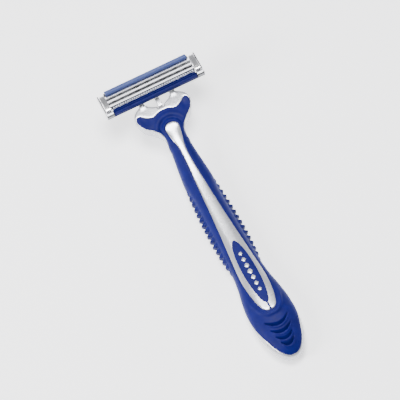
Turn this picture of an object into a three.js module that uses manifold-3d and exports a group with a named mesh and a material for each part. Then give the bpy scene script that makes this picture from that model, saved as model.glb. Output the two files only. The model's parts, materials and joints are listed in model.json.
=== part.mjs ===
// Cartridge razor: a two-shot handle, a sprung pivoting head and three floating blades.
// Millimetres, +Z up. The razor lies on its back with the blades up: X runs across the head,
// Y along the handle towards the head, and z = 0 is the flat back of the handle.
// While it is being built y = 0 is the tail tip. The last lines move the origin to the middle of
// the base of the whole razor.

import * as THREE from 'three';
import { mergeVertices } from 'three/addons/utils/BufferGeometryUtils.js';
import Module from 'manifold-3d';

const wasm = await Module();
wasm.setup();

// ---- Driving dimensions ----------------------------------------------------------------------

const GAP = 0.3;                 // running or bonding gap between two solids
const GRIP_THICKNESS = 1.2;      // rubber over the hard core

// Handle
const BULB_Y = 18.6;             // widest place of the thumb bulb, from the tail tip
const BULB_HALF_WIDTH = 9.1;
const TAIL_NOSE_LENGTH = 6;      // length of the rounding in side view at the tail
const TAIL_NOSE_Z = 3.8;         // height of the tail tip
const LOFT_START = 0.12;
const LOFT_END = 106;
const LOFT_STATIONS = 30;
const LOFT_SIDES = 28;
const SECTION_POWER = 2.4;       // 2 is an ellipse, higher is squarer
const BACK_FLATTENING = 1.14;    // how far the section would reach below its flat back
const RIM = 0.9;                 // hard rim left showing round the bulb
const FLANK_WRAP = 1.0;          // how far the rubber's cutting shape stands outside the flank
const HIGH = 30;                 // above everything on the handle
const WIDE = 15;                 // outside everything on the handle
const FINEST_DETAIL = 0.01;      // corners closer than this are drawn together after the cuts

// Window and oval inset
const STEM_HALF_WIDTH = 0.37;
const OVAL_TOP_Y = 52.5;
const OVAL_MIDDLE_Y = 38.5;
const OVAL_BOTTOM_Y = 23.4;
const OVAL_HALF_WIDTH = 2.95;
const WINDOW_BOTTOM_Y = 20.2;
const WINDOW_TOP_CENTRE_Y = 104.3;
const WINDOW_TOP_RADIUS = 2.9;
const OVAL_POCKET_DEPTH = 1.6;

// Finger fins on the flanks
const FIN_COUNT = 16;
const FIN_FIRST_Y = 43.0;
const FIN_PITCH = 2.5;
const FIN_LOW_Z = 3.0;
const FIN_HIGH_Z = 6.2;
const FIN_HALF_BASE = 1.0;
const FIN_HALF_CREST = 0.35;
const FIN_BLUNTING = 0.3;        // how far the crest's corners stand back from its tip
const FIN_ROOT = 0.7;            // how deep a fin is rooted in the rubber
const FIN_LEAST = 0.35;
const FIN_MOST = 1.6;

// Thumb grooves: centre y, end y, half width
const GROOVES = [
  [13.9, 16.6, 5.1],
  [10.7, 12.8, 4.4],
  [7.8, 9.7, 3.6],
  [5.2, 6.9, 2.8],
];
const GROOVE_WIDTH = 1.0;
const GROOVE_DEPTH = 0.7;

// Rear pad
const REAR_PAD_HALF_WIDTH = 2.3;
const REAR_PAD_LOW_Y = 26;
const REAR_PAD_HIGH_Y = 74;
const REAR_PAD_RECESS = 0.15;
const REAR_RIB_COUNT = 10;
const REAR_RIB_HALF_WIDTH = 1.7;
const REAR_VALLEY_HALF = 0.5;
const REAR_VALLEY_DEPTH = 0.45;

// Yoke
const YOKE_START_Y = 98;
const YOKE_FRONT_Y = 118.2;
const YOKE_STATIONS = 16;
const YOKE_RIM = 0.4;            // hard rim left showing round the ears of the rubber
const EARS_START_Y = 104.4;
const EARS_END_Y = 113.6;
const EARS_HALF_WIDTH = 10.2;
const CRESCENT_BOTTOM_Y = 115.2;
const HORN_INNER_X = 5.5;
const HORN_OUTER_X = 7.7;
const HORN_ROOT_Y = 116.4;
const HORN_NOSE_RADIUS = 1.2;
const JOURNAL_RADIUS = 1.0;
const JOURNAL_END_X = 9.4;
const JOURNAL_HOLE_RADIUS = 1.2;
const EAR_INNER_X = 8.0;
const EAR_OUTER_X = 9.6;
const EAR_HALF_WIDTH = 2.0;
const EAR_DEPTH = 1.9;           // how far an ear reaches below the pivot

// Head: its face is centred at HEAD_Y, HEAD_Z and leans back by HEAD_TILT
const HEAD_Y = 122.8;
const HEAD_Z = 20.0;
const HEAD_TILT = THREE.MathUtils.degToRad(4);
const HEAD_HALF_WIDTH = 21.0;
const HEAD_FLOOR = -2.9;         // back of the head, below the face
const PIVOT_T = -1.5;            // pivot in the head's own frame: along the face, then below it
const PIVOT_N = -4.4;
const PANEL_HALF_WIDTH = 18.05;  // middle stretch between the end caps
const BLADE_HALF_LENGTH = 19.3;
const BLADE_EDGES = [2.64, 0.57, -1.5];
const BLADE_ANGLE = THREE.MathUtils.degToRad(21);
const BLADE_WIDTH = 1.45;
const BLADE_THICKNESS = 0.22;
const BLADE_EDGE_N = 0.05;
const SUPPORT_HALF_LENGTH = 18.3;
const SUPPORT_FOOT_N = -2.0;
const SUPPORT_THICKNESS = 0.28;
const SUPPORT_TOE = 0.5;         // the foot turns in this far towards the guard
const CLIP_INNER_X = 18.35;
const CLIP_OUTER_X = 20.3;
const CLIP_THICKNESS = 0.3;
const CLIP_WINDOW_OUTER_X = 20.6;
const CLIP_LOW_T = -2.5;
const CLIP_HIGH_T = 4.5;
const CLIP_UNDERSIDE = 0.25;     // above the face
const RIB_PLACES = [-15.5, -12, -8.8, -5, 0, 5, 8.8, 12, 15.5];
const RIB_HALF_WIDTH = 0.8;
const RIB_LOW_T = -2.2;
const RIB_HIGH_T = 4.4;
const RIB_TOP_N = -2.45;
const STRIP_HALF_LENGTH = 17.6;
const GUARD_HALF_LENGTH = 17.75;
const CHANNEL_PLACES = [-3.3, -3.95];
const CHANNEL_HALF_WIDTH = 0.14;
const CHANNEL_FLOOR_N = -0.75;
const MICROFIN_PITCH = 1.0;
const MICROFIN_NOTCH_HALF = 0.22;
const TONGUE_HALF_WIDTH = 0.92;
const TONGUE_ROOT_Y = 115.7;
const TONGUE_TIP_Y = 123.8;
const TONGUE_THICKNESS = 1.1;

// Curves along the handle: [y, value] pairs joined by a smooth line
const flank = smooth([
  [18.6, 9.1], [24, 8.85], [29.5, 8.1], [35, 7.0], [41, 6.3], [50, 6.05], [62, 5.8],
  [76, 5.65], [82.6, 6.0], [90, 5.3], [98, 4.4], [102, 4.6], [106, 5.2],
]);
const frontHeight = smooth([
  [0, 8.0], [10, 9.0], [20, 9.8], [40, 9.6], [60, 9.5], [80, 10.1], [90, 11.2], [98, 13.0],
  [106, 15.0],
]);
const backLine = smooth([
  [0, 0.6], [6, -0.1], [30, -0.1], [78, -0.1], [86, 1.2], [95, 4.0], [106, 8.3],
]);
const backHeight = (y) => Math.max(0, backLine(y));
const partingHeight = smooth([
  [0, 5.6], [12, 5.2], [24, 3.6], [40, 2.2], [78, 2.2], [90, 4.2], [98, 7.4], [106, 10.6],
  [115, 12.6],
]);
const windowHalfWidth = smooth([
  [20.2, 1.3], [21.7, 2.8], [23.4, 3.5], [27, 4.4], [35.4, 5.2], [46, 4.5], [56.5, 3.55],
  [67, 2.75], [82.6, 1.75], [92.7, 1.17], [97.5, 1.5], [100.5, 2.35], [104.3, 2.9],
]);
const yokeHalfWidth = smooth([
  [98, 4.1], [102, 4.5], [105, 5.7], [106.8, 7.5], [108.6, 9.8], [111, 11.4], [113.5, 11.8],
  [115.5, 11.3], [117, 10.0], [118.2, 7.7],
]);
const yokeTop = smooth([[98, 12.9], [104, 14.7], [108, 15.4], [113, 15.9], [118.2, 16.2]]);
const yokeBottom = smooth([[98, 5.2], [105, 8.0], [113, 11.2], [118.2, 13.4]]);
const rubberFrontEdge = smooth([[0, 113.0], [2.2, 112.6], [4.7, 111.8], [7.5, 112.6], [10.2, 114.5]]);

// ---- Helpers ---------------------------------------------------------------------------------

// A smooth line through [at, value] points, flat beyond its ends
function smooth(points) {
  const slope = (i) => {
    const before = points[Math.max(i - 1, 0)];
    const after = points[Math.min(i + 1, points.length - 1)];
    return (after[1] - before[1]) / (after[0] - before[0]);
  };
  return (at) => {
    const last = points.length - 1;
    if (at <= points[0][0]) return points[0][1];
    if (at >= points[last][0]) return points[last][1];
    const i = points.findIndex((point) => point[0] > at) - 1;
    const [a, b] = [points[i], points[i + 1]];
    const length = b[0] - a[0];
    const u = (at - a[0]) / length;
    const blend = u * u * (3 - 2 * u);
    const bend = u * (1 - u) * ((1 - u) * slope(i) - u * slope(i + 1)) * length;
    return a[1] + (b[1] - a[1]) * blend + bend;
  };
}

// count + 1 numbers from first to last
function steps(first, last, count) {
  return Array.from({ length: count + 1 }, (_, i) => first + ((last - first) * i) / count);
}

function solid(geometry) {
  const bare = geometry.index ? geometry.toNonIndexed() : geometry.clone();
  bare.deleteAttribute('normal');
  bare.deleteAttribute('uv');
  const merged = mergeVertices(bare, 1e-5);
  return new wasm.Manifold(new wasm.Mesh({
    numProp: 3,
    vertProperties: new Float32Array(merged.attributes.position.array),
    triVerts: new Uint32Array(merged.index.array),
  }));
}

function geometryOf(manifold) {
  const mesh = manifold.getMesh();
  const geometry = new THREE.BufferGeometry();
  geometry.setAttribute('position', new THREE.BufferAttribute(new Float32Array(mesh.vertProperties), 3));
  geometry.setIndex(new THREE.BufferAttribute(new Uint32Array(mesh.triVerts), 1));
  geometry.computeVertexNormals();
  return geometry;
}

const outline = (points) => new THREE.Shape(points.map(([x, y]) => new THREE.Vector2(x, y)));

// A plan outline in x and y, extruded from one height to another
function upright(points, low, high) {
  const shape = Array.isArray(points) ? outline(points) : points;
  const geometry = new THREE.ExtrudeGeometry(shape, {
    depth: high - low, bevelEnabled: false, curveSegments: 12,
  });
  return solid(geometry.translate(0, 0, low));
}

// A side outline in y and z, extruded across from one x to another
function across(points, left, right) {
  const shape = Array.isArray(points) ? outline(points) : points;
  const geometry = new THREE.ExtrudeGeometry(shape, {
    depth: right - left, bevelEnabled: false, curveSegments: 12,
  });
  geometry.applyMatrix4(new THREE.Matrix4().makeBasis(
    new THREE.Vector3(0, 1, 0), new THREE.Vector3(0, 0, 1), new THREE.Vector3(1, 0, 0),
  ));
  return solid(geometry.translate(left, 0, 0));
}

// A box from two corners
function block(low, high) {
  const size = high.map((value, i) => value - low[i]);
  const middle = high.map((value, i) => (value + low[i]) / 2);
  return solid(new THREE.BoxGeometry(...size).translate(...middle));
}

// A round bar along X
function crossBar(left, right, y, z, radius, sides = 20) {
  const geometry = new THREE.CylinderGeometry(radius, radius, right - left, sides);
  geometry.rotateZ(Math.PI / 2).translate((left + right) / 2, y, z);
  return solid(geometry);
}

const joined = (solids) => solids.reduce((sum, next) => sum.add(next));
const mirrored = (half) => [...half, ...half.slice().reverse().map(([x, y]) => [-x, y])];
const bothSides = (make) => joined([make(1), make(-1)]);

// An outline symmetrical in x, from its half width at each y
function symmetric(halfWidth, ys) {
  return mirrored(ys.map((y) => [halfWidth(y), y]));
}

// Block between two x distances on one side
function sideBlock(side, inner, outer, low, high) {
  const [left, right] = side > 0 ? [inner, outer] : [-outer, -inner];
  return block([left, low[0], low[1]], [right, high[0], high[1]]);
}

// The largest of the bodies that a cut leaves, without stray slivers
function mainBody(manifold) {
  const bodies = manifold.decompose();
  return bodies.reduce((most, next) => (next.volume() > most.volume() ? next : most));
}

function node(name, shape, material) {
  const mesh = new THREE.Mesh(geometryOf(mainBody(shape).simplify(FINEST_DETAIL)), material);
  mesh.name = name;
  return mesh;
}

// ---- Materials -------------------------------------------------------------------------------

const silverPlastic = new THREE.MeshStandardMaterial({ color: '#d3d5d8', roughness: 0.3, metalness: 0.35 });
const framePlastic = new THREE.MeshStandardMaterial({ color: '#dcdcde', roughness: 0.28, metalness: 0.3 });
const blueRubber = new THREE.MeshStandardMaterial({ color: '#2f4698', roughness: 0.55, metalness: 0 });
const navyRubber = new THREE.MeshStandardMaterial({ color: '#1a2c68', roughness: 0.6, metalness: 0 });
const paleRubber = new THREE.MeshStandardMaterial({ color: '#b9bdcc', roughness: 0.5, metalness: 0 });
const lubricant = new THREE.MeshStandardMaterial({ color: '#5f74a6', roughness: 0.45, metalness: 0 });
const bladeSteel = new THREE.MeshStandardMaterial({ color: '#cfcfd1', roughness: 0.22, metalness: 1 });
const supportSteel = new THREE.MeshStandardMaterial({ color: '#8f9194', roughness: 0.4, metalness: 1 });
const clipMetal = new THREE.MeshStandardMaterial({ color: '#e6e7ea', roughness: 0.25, metalness: 1 });

// ---- Handle ----------------------------------------------------------------------------------

function handleHalfWidth(y) {
  if (y >= BULB_Y) return flank(y);
  return BULB_HALF_WIDTH * Math.sqrt(1 - ((BULB_Y - y) / BULB_Y) ** 2);
}

function noseRounding(y) {
  return y >= TAIL_NOSE_LENGTH ? 1 : Math.sqrt(1 - ((TAIL_NOSE_LENGTH - y) / TAIL_NOSE_LENGTH) ** 2);
}

// The handle's skin, moved inwards by inset: a tube whose rings follow the outline and side view
function handleBody(inset) {
  const geometry = new THREE.CylinderGeometry(1, 1, 1, LOFT_SIDES, LOFT_STATIONS);
  const points = geometry.attributes.position;
  const start = LOFT_START + inset;
  for (let i = 0; i < points.count; i += 1) {
    const along = (points.getY(i) + 0.5) ** 1.6;
    const reach = Math.min(1, Math.hypot(points.getX(i), points.getZ(i)));
    const angle = Math.atan2(points.getZ(i), points.getX(i));
    const y = start + (LOFT_END - start) * along;
    const middle = TAIL_NOSE_Z;
    const front = middle + (frontHeight(y) - middle) * noseRounding(y) - inset;
    const back = middle - (middle - backHeight(y)) * noseRounding(y) + inset;
    const centre = back + (front - back) * 0.45;
    const round = (value) => Math.sign(value) * Math.abs(value) ** (2 / SECTION_POWER);
    const width = Math.max(handleHalfWidth(y) - inset, 0.4);
    const rise = round(Math.sin(angle)) * reach;
    const height = rise > 0 ? (front - centre) * rise : (centre - back) * BACK_FLATTENING * rise;
    points.setXYZ(i, width * round(Math.cos(angle)) * reach, y, Math.max(centre + height, back));
  }
  return solid(geometry);
}

// The yoke at the end of the neck. A larger inset lowers its front, and draws in its sides a little
function yokeBody(inset) {
  const ys = steps(YOKE_START_Y, YOKE_FRONT_Y, YOKE_STATIONS);
  const drawIn = inset / 10;
  const crescentRadius = (HORN_INNER_X ** 2 + (YOKE_FRONT_Y - CRESCENT_BOTTOM_Y) ** 2)
    / (2 * (YOKE_FRONT_Y - CRESCENT_BOTTOM_Y));
  const side = [
    ...ys.map((y) => [y, yokeBottom(y) + drawIn]),
    ...ys.slice().reverse().map((y) => [y, yokeTop(y) - inset]),
  ];
  const cutter = crescentRadius + drawIn;
  const crescent = solid(new THREE.CylinderGeometry(cutter, cutter, 20, 40)
    .rotateX(Math.PI / 2)
    .translate(0, CRESCENT_BOTTOM_Y + crescentRadius, HEAD_Z - 5));
  return upright(symmetric((y) => yokeHalfWidth(y) - drawIn, ys), 0, HIGH)
    .intersect(across(side, -WIDE, WIDE))
    .subtract(crescent);
}

// Plan of the rubber: inside the rim at the bulb, round the flanks of the grip, ears on the yoke
function rubberPlan(grow) {
  const bulb = steps(LOFT_START + 0.6 - grow, BULB_Y - 1.6, 10).map((y) => {
    const rim = RIM * (1 - Math.max(0, (y - 11) / (BULB_Y - 1.6 - 11)) ** 2);
    return [Math.max(handleHalfWidth(Math.max(y, LOFT_START)) - rim, 0.2) + grow, y];
  });
  const wrap = steps(BULB_Y - 1, 103, 10).map((y) => [handleHalfWidth(y) + FLANK_WRAP + grow, y]);
  const ears = steps(EARS_START_Y, EARS_END_Y, 8).map((y) => [yokeHalfWidth(y) - YOKE_RIM + grow, y]);
  const front = steps(EARS_HALF_WIDTH, 0, 10).map((x) => [x, rubberFrontEdge(x) + grow]);
  return upright(mirroredThrough([...bulb, ...wrap, ...ears, ...front]), -5, HIGH);
}

// A symmetric outline whose last point lies on the centre line
function mirroredThrough(half) {
  return [...half, ...half.slice(0, -1).reverse().map(([x, y]) => [-x, y])];
}

// Everything above the line along the flanks where the rubber ends
function aboveParting(drop) {
  const ys = steps(-2, 116, 30);
  return across([...ys.map((y) => [y, partingHeight(y) - drop]), [116, HIGH], [-2, HIGH]], -WIDE, WIDE);
}

// Plan of the hard core's window: a long drop with a round top
function windowPlan(shrink) {
  const sides = steps(WINDOW_BOTTOM_Y + shrink, WINDOW_TOP_CENTRE_Y, 18)
    .map((y) => [windowHalfWidth(y) - shrink, y]);
  const radius = WINDOW_TOP_RADIUS - shrink;
  const top = steps(0.2, Math.PI / 2, 5)
    .map((a) => [radius * Math.cos(a), WINDOW_TOP_CENTRE_Y + radius * Math.sin(a)]);
  return upright(mirroredThrough([...sides, ...top]), -5, HIGH);
}

function ovalHalfWidth(y) {
  const end = y > OVAL_MIDDLE_Y ? OVAL_TOP_Y : OVAL_BOTTOM_Y;
  return OVAL_HALF_WIDTH * Math.sqrt(Math.max(0, 1 - ((y - OVAL_MIDDLE_Y) / (end - OVAL_MIDDLE_Y)) ** 2));
}

// Plan of the oval inset with the stem that feeds it
function ovalPlan(grow) {
  const ys = steps(0, Math.PI, 24).map((a) => {
    const reach = Math.cos(a) > 0 ? OVAL_MIDDLE_Y - OVAL_BOTTOM_Y : OVAL_TOP_Y - OVAL_MIDDLE_Y;
    return OVAL_MIDDLE_Y - Math.cos(a) * reach;
  });
  const oval = ys.slice(1, -1).map((y) => [ovalHalfWidth(y) + grow, y]);
  const ends = [[0.2 + grow, OVAL_BOTTOM_Y - grow], [0.2 + grow, OVAL_TOP_Y + grow]];
  const egg = upright(mirrored([ends[0], ...oval, ends[1]]), -5, HIGH);
  const stem = block(
    [-STEM_HALF_WIDTH - grow, WINDOW_BOTTOM_Y + GAP - grow, -5],
    [STEM_HALF_WIDTH + grow, OVAL_BOTTOM_Y + 2.6, HIGH],
  );
  return egg.add(stem);
}

// One crescent groove, ends towards the head
function groovePlan([middleY, endY, halfWidth]) {
  const line = (x, lift) => middleY + (endY - middleY) * (x / halfWidth) ** 2 + lift;
  const xs = steps(-halfWidth, halfWidth, 8);
  const taper = (x) => GROOVE_WIDTH * Math.sqrt(Math.max(0, 1 - (x / halfWidth) ** 2));
  const low = xs.map((x) => [x, line(x, -taper(x) / 2)]);
  const high = xs.slice(1, -1).reverse().map((x) => [x, line(x, taper(x) / 2)]);
  return upright([...low, ...high], -5, HIGH);
}

// A fin stands highest in the middle of the row
function finHeight(index) {
  const place = index / (FIN_COUNT - 1);
  return FIN_LEAST + (FIN_MOST - FIN_LEAST) * Math.sin(Math.PI * place) ** 0.6;
}

function fin(side, index) {
  const y = FIN_FIRST_Y + FIN_PITCH * index;
  const root = handleHalfWidth(y) - FIN_ROOT;
  const tip = handleHalfWidth(y) + finHeight(index);
  const half = [
    [root, y - FIN_HALF_BASE], [tip - FIN_BLUNTING, y - FIN_HALF_CREST], [tip, y],
    [tip - FIN_BLUNTING, y + FIN_HALF_CREST], [root, y + FIN_HALF_BASE],
  ];
  const plan = side > 0 ? half : half.map(([x, py]) => [-x, py]).reverse();
  return upright(plan, FIN_LOW_Z, FIN_HIGH_Z);
}

const handleWithYoke = (inset) => handleBody(inset).add(yokeBody(inset));
const ovalReach = block([-5, 10, 5], [5, 60, 20]);

function rearPadPlan(grow) {
  const half = REAR_PAD_HALF_WIDTH + grow;
  const shape = new THREE.Shape();
  shape.moveTo(half, REAR_PAD_LOW_Y + half);
  shape.lineTo(half, REAR_PAD_HIGH_Y - half);
  shape.absarc(0, REAR_PAD_HIGH_Y - half, half, 0, Math.PI, false);
  shape.lineTo(-half, REAR_PAD_LOW_Y + half);
  shape.absarc(0, REAR_PAD_LOW_Y + half, half, Math.PI, 2 * Math.PI, false);
  return shape;
}

// The pivot in the razor's own frame
const pivotY = HEAD_Y + PIVOT_T * Math.cos(HEAD_TILT) + PIVOT_N * Math.sin(HEAD_TILT);
const pivotZ = HEAD_Z - PIVOT_T * Math.sin(HEAD_TILT) + PIVOT_N * Math.cos(HEAD_TILT);

// An arm from the yoke to the pivot, with its journal
function horn(side) {
  const [left, right] = side > 0 ? [HORN_INNER_X, HORN_OUTER_X] : [-HORN_OUTER_X, -HORN_INNER_X];
  const arm = across([
    [HORN_ROOT_Y, 13.0], [pivotY + 0.2, pivotZ - HORN_NOSE_RADIUS], [pivotY, pivotZ + HORN_NOSE_RADIUS],
    [YOKE_FRONT_Y, 16.3], [HORN_ROOT_Y, 16.0],
  ], left, right);
  const nose = crossBar(left, right, pivotY, pivotZ, HORN_NOSE_RADIUS);
  const [from, to] = side > 0 ? [left, JOURNAL_END_X] : [-JOURNAL_END_X, right];
  return joined([arm, nose, crossBar(from, to, pivotY, pivotZ, JOURNAL_RADIUS)]);
}

// Slot in the front of the yoke where the tongue is rooted
const tongueSlot = block(
  [-TONGUE_HALF_WIDTH - GAP, TONGUE_ROOT_Y - 1.1, 12.6],
  [TONGUE_HALF_WIDTH + GAP, YOKE_FRONT_Y, 20],
);

// The hard shot: the whole handle without the space that the rubber fills
function handleCore() {
  const rubberSpace = rubberPlan(GAP).subtract(windowPlan(GAP)).intersect(aboveParting(GAP));
  const ovalSpace = ovalPlan(GAP).intersect(ovalReach).subtract(handleBody(OVAL_POCKET_DEPTH));
  return handleWithYoke(0)
    .subtract(rubberSpace)
    .add(handleWithYoke(GRIP_THICKNESS + GAP))
    .subtract(ovalSpace)
    .subtract(upright(rearPadPlan(GAP), -1, GRIP_THICKNESS + GAP))
    .subtract(tongueSlot)
    .add(bothSides(horn));
}

// The soft shot over it, with its fins and thumb grooves
function gripOvermould() {
  const fins = joined(steps(0, FIN_COUNT - 1, FIN_COUNT - 1).map((i) => bothSides((side) => fin(side, i))));
  const grooves = joined(GROOVES.map(groovePlan)).subtract(handleBody(GROOVE_DEPTH));
  return handleWithYoke(0)
    .intersect(rubberPlan(0))
    .intersect(aboveParting(0))
    .subtract(windowPlan(0))
    .subtract(handleWithYoke(GRIP_THICKNESS))
    .add(fins)
    .subtract(grooves);
}

const ovalInset = () => handleBody(0)
  .intersect(ovalPlan(0))
  .intersect(ovalReach)
  .subtract(handleBody(GRIP_THICKNESS));

function rearPad() {
  const valleys = steps(1, REAR_RIB_COUNT, REAR_RIB_COUNT - 1).map((i) => {
    const y = REAR_PAD_LOW_Y + ((REAR_PAD_HIGH_Y - REAR_PAD_LOW_Y) * i) / (REAR_RIB_COUNT + 1);
    return block(
      [-REAR_RIB_HALF_WIDTH, y - REAR_VALLEY_HALF, -1],
      [REAR_RIB_HALF_WIDTH, y + REAR_VALLEY_HALF, REAR_PAD_RECESS + REAR_VALLEY_DEPTH],
    );
  });
  return upright(rearPadPlan(0), REAR_PAD_RECESS, GRIP_THICKNESS).subtract(joined(valleys));
}

// The return tongue: a leaf rooted in the yoke that runs up behind the head
function returnTongue() {
  const top = pivotZ + 0.3;
  return across([
    [TONGUE_ROOT_Y - 0.8, top - 2.2], [TONGUE_ROOT_Y + 1.2, top - 1.8],
    [TONGUE_TIP_Y - 0.3, top - TONGUE_THICKNESS], [TONGUE_TIP_Y, top - 0.6], [TONGUE_TIP_Y - 0.2, top],
    [TONGUE_ROOT_Y + 1, top], [TONGUE_ROOT_Y - 0.8, top - 0.3],
  ], -TONGUE_HALF_WIDTH, TONGUE_HALF_WIDTH);
}

// ---- Head, in its own frame: y along the face towards the cap, z out of the face -------------

function cartridgeHousing() {
  const endProfile = [
    [-4.6, HEAD_FLOOR], [-4.95, -2.5], [-4.95, -1.0], [-4.6, -0.45], [-3.5, -0.1], [5.3, 0.0],
    [5.6, -0.3], [5.6, -2.6], [5.3, HEAD_FLOOR],
  ];
  const ends = bothSides((side) => {
    const [left, right] = side > 0
      ? [PANEL_HALF_WIDTH, HEAD_HALF_WIDTH]
      : [-HEAD_HALF_WIDTH, -PANEL_HALF_WIDTH];
    return across(endProfile, left, right);
  });
  const capBar = across([
    [4.15, HEAD_FLOOR], [4.15, -1.2], [6.1, -1.2], [6.3, -1.5], [6.0, -2.5], [5.6, HEAD_FLOOR],
  ], -PANEL_HALF_WIDTH - 0.2, PANEL_HALF_WIDTH + 0.2);
  const guardBar = across([
    [-4.7, HEAD_FLOOR], [-4.9, -2.3], [-2.05, -2.3], [-2.05, HEAD_FLOOR],
  ], -PANEL_HALF_WIDTH - 0.2, PANEL_HALF_WIDTH + 0.2);
  const ribs = joined(RIB_PLACES.map((x) => block(
    [x - RIB_HALF_WIDTH, RIB_LOW_T, HEAD_FLOOR], [x + RIB_HALF_WIDTH, RIB_HIGH_T, RIB_TOP_N],
  )));
  const clipWindow = bothSides((side) => sideBlock(
    side, PANEL_HALF_WIDTH - 0.5, CLIP_WINDOW_OUTER_X, [-2.85, -4], [4.85, 1],
  ));
  const cornerNotch = bothSides((side) => sideBlock(side, 18.6, 20.2, [-3.6, -1.2], [-2.6, 1]));
  const ear = (side) => {
    const [left, right] = side > 0 ? [EAR_INNER_X, EAR_OUTER_X] : [-EAR_OUTER_X, -EAR_INNER_X];
    const web = across([
      [PIVOT_T - EAR_HALF_WIDTH, HEAD_FLOOR + 0.4], [PIVOT_T - EAR_HALF_WIDTH, PIVOT_N - 0.6],
      [PIVOT_T - 0.9, PIVOT_N - EAR_DEPTH], [PIVOT_T + 0.9, PIVOT_N - EAR_DEPTH],
      [PIVOT_T + EAR_HALF_WIDTH, PIVOT_N - 0.6], [PIVOT_T + 2.8, HEAD_FLOOR + 0.4],
    ], left, right);
    const floor = sideBlock(side, EAR_INNER_X, EAR_OUTER_X, [RIB_LOW_T, HEAD_FLOOR], [RIB_HIGH_T, RIB_TOP_N]);
    return web.add(floor).subtract(crossBar(left - 1, right + 1, PIVOT_T, PIVOT_N, JOURNAL_HOLE_RADIUS));
  };
  const cam = block([-0.8, PIVOT_T + 1.9, PIVOT_N + 0.62], [0.8, PIVOT_T + 2.7, HEAD_FLOOR + 0.2]);
  return joined([ends, capBar, guardBar, ribs])
    .subtract(clipWindow)
    .subtract(cornerNotch)
    .add(bothSides(ear))
    .add(cam);
}

function lubricatingStrip() {
  return across([
    [4.3, -0.9], [4.3, 0.1], [4.55, 0.4], [5.3, 0.5], [6.0, 0.15], [6.3, -0.3], [6.3, -0.9],
  ], -STRIP_HALF_LENGTH, STRIP_HALF_LENGTH);
}

function guardStrip() {
  const body = across([
    [-2.85, -2.0], [-2.85, -0.1], [-4.3, -0.5], [-4.75, -0.8], [-5.0, -1.2], [-5.0, -2.0],
  ], -GUARD_HALF_LENGTH, GUARD_HALF_LENGTH);
  const end = GUARD_HALF_LENGTH - 0.75;
  const channels = joined(CHANNEL_PLACES.map((t) => block(
    [-end, t - CHANNEL_HALF_WIDTH, CHANNEL_FLOOR_N], [end, t + CHANNEL_HALF_WIDTH, 1],
  )));
  return body.subtract(channels);
}

function microfinStrip() {
  const body = block([-GUARD_HALF_LENGTH, -2.5, -2.0], [GUARD_HALF_LENGTH, -1.95, 0.0]);
  const notches = joined(steps(-17, 17, 34 / MICROFIN_PITCH).map((x) => block(
    [x - MICROFIN_NOTCH_HALF, -3, -0.5], [x + MICROFIN_NOTCH_HALF, -1, 1],
  )));
  return body.subtract(notches);
}

function retentionClip(side) {
  const [left, right] = side > 0 ? [CLIP_INNER_X, CLIP_OUTER_X] : [-CLIP_OUTER_X, -CLIP_INNER_X];
  const low = HEAD_FLOOR - 0.2;
  const top = CLIP_UNDERSIDE + CLIP_THICKNESS;
  const [innerLow, innerHigh] = [CLIP_LOW_T + CLIP_THICKNESS, CLIP_HIGH_T - CLIP_THICKNESS];
  return across([
    [CLIP_LOW_T, low], [CLIP_LOW_T, top - 0.15], [CLIP_LOW_T + 0.15, top], [CLIP_HIGH_T - 0.15, top],
    [CLIP_HIGH_T, top - 0.15], [CLIP_HIGH_T, low], [CLIP_HIGH_T - 0.8, low - 0.35],
    [CLIP_HIGH_T - 0.8, low - 0.05], [innerHigh, low + 0.15], [innerHigh, CLIP_UNDERSIDE],
    [innerLow, CLIP_UNDERSIDE], [innerLow, low + 0.15], [CLIP_LOW_T + 0.8, low - 0.05],
    [CLIP_LOW_T + 0.8, low - 0.35],
  ], left, right);
}

// Places on a blade: a distance behind its edge and a depth below its top
function bladeFrame(edge) {
  const along = [Math.cos(BLADE_ANGLE), -Math.sin(BLADE_ANGLE)];
  return (distance, depth) => [
    edge + along[0] * distance + along[1] * depth,
    BLADE_EDGE_N + along[1] * distance - along[0] * depth,
  ];
}

// The steel strip: a bevelled edge towards the guard, sloping down towards the cap
function bladeSteelStrip(edge) {
  const at = bladeFrame(edge);
  return across([
    at(0, 0.06), at(0.45, BLADE_THICKNESS), at(BLADE_WIDTH, BLADE_THICKNESS), at(BLADE_WIDTH, 0), at(0.3, 0),
  ].reverse(), -BLADE_HALF_LENGTH, BLADE_HALF_LENGTH);
}

// The bent carrier under it: a sloping platform and an upright leg
function bladeSupport(edge) {
  const at = bladeFrame(edge);
  const top = BLADE_THICKNESS + 0.04;
  const bottom = top + SUPPORT_THICKNESS;
  const legFront = at(0.62, bottom)[0];
  return across([
    [legFront, SUPPORT_FOOT_N + 0.22], [legFront - SUPPORT_TOE, SUPPORT_FOOT_N + 0.22],
    [legFront - SUPPORT_TOE, SUPPORT_FOOT_N], [legFront + 0.36, SUPPORT_FOOT_N],
    [legFront + 0.36, at(0.95, bottom)[1]],
    at(BLADE_WIDTH - 0.1, bottom), at(BLADE_WIDTH - 0.1, top), at(0.62, top),
  ], -SUPPORT_HALF_LENGTH, SUPPORT_HALF_LENGTH);
}

// ---- The razor -------------------------------------------------------------------------------

const head = new THREE.Group();
head.position.set(0, HEAD_Y, HEAD_Z);
head.rotation.x = -HEAD_TILT;
head.add(
  node('cartridge_housing', cartridgeHousing(), framePlastic),
  node('lubricating_strip', lubricatingStrip(), lubricant),
  node('guard_strip', guardStrip(), navyRubber),
  node('microfin_strip', microfinStrip(), paleRubber),
  node('retention_clip_right', retentionClip(1), clipMetal),
  node('retention_clip_left', retentionClip(-1), clipMetal),
);
BLADE_EDGES.forEach((edge, index) => {
  head.add(
    node(`blade_edge_${index + 1}`, bladeSteelStrip(edge), bladeSteel),
    node(`blade_support_${index + 1}`, bladeSupport(edge), supportSteel),
  );
});

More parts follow.
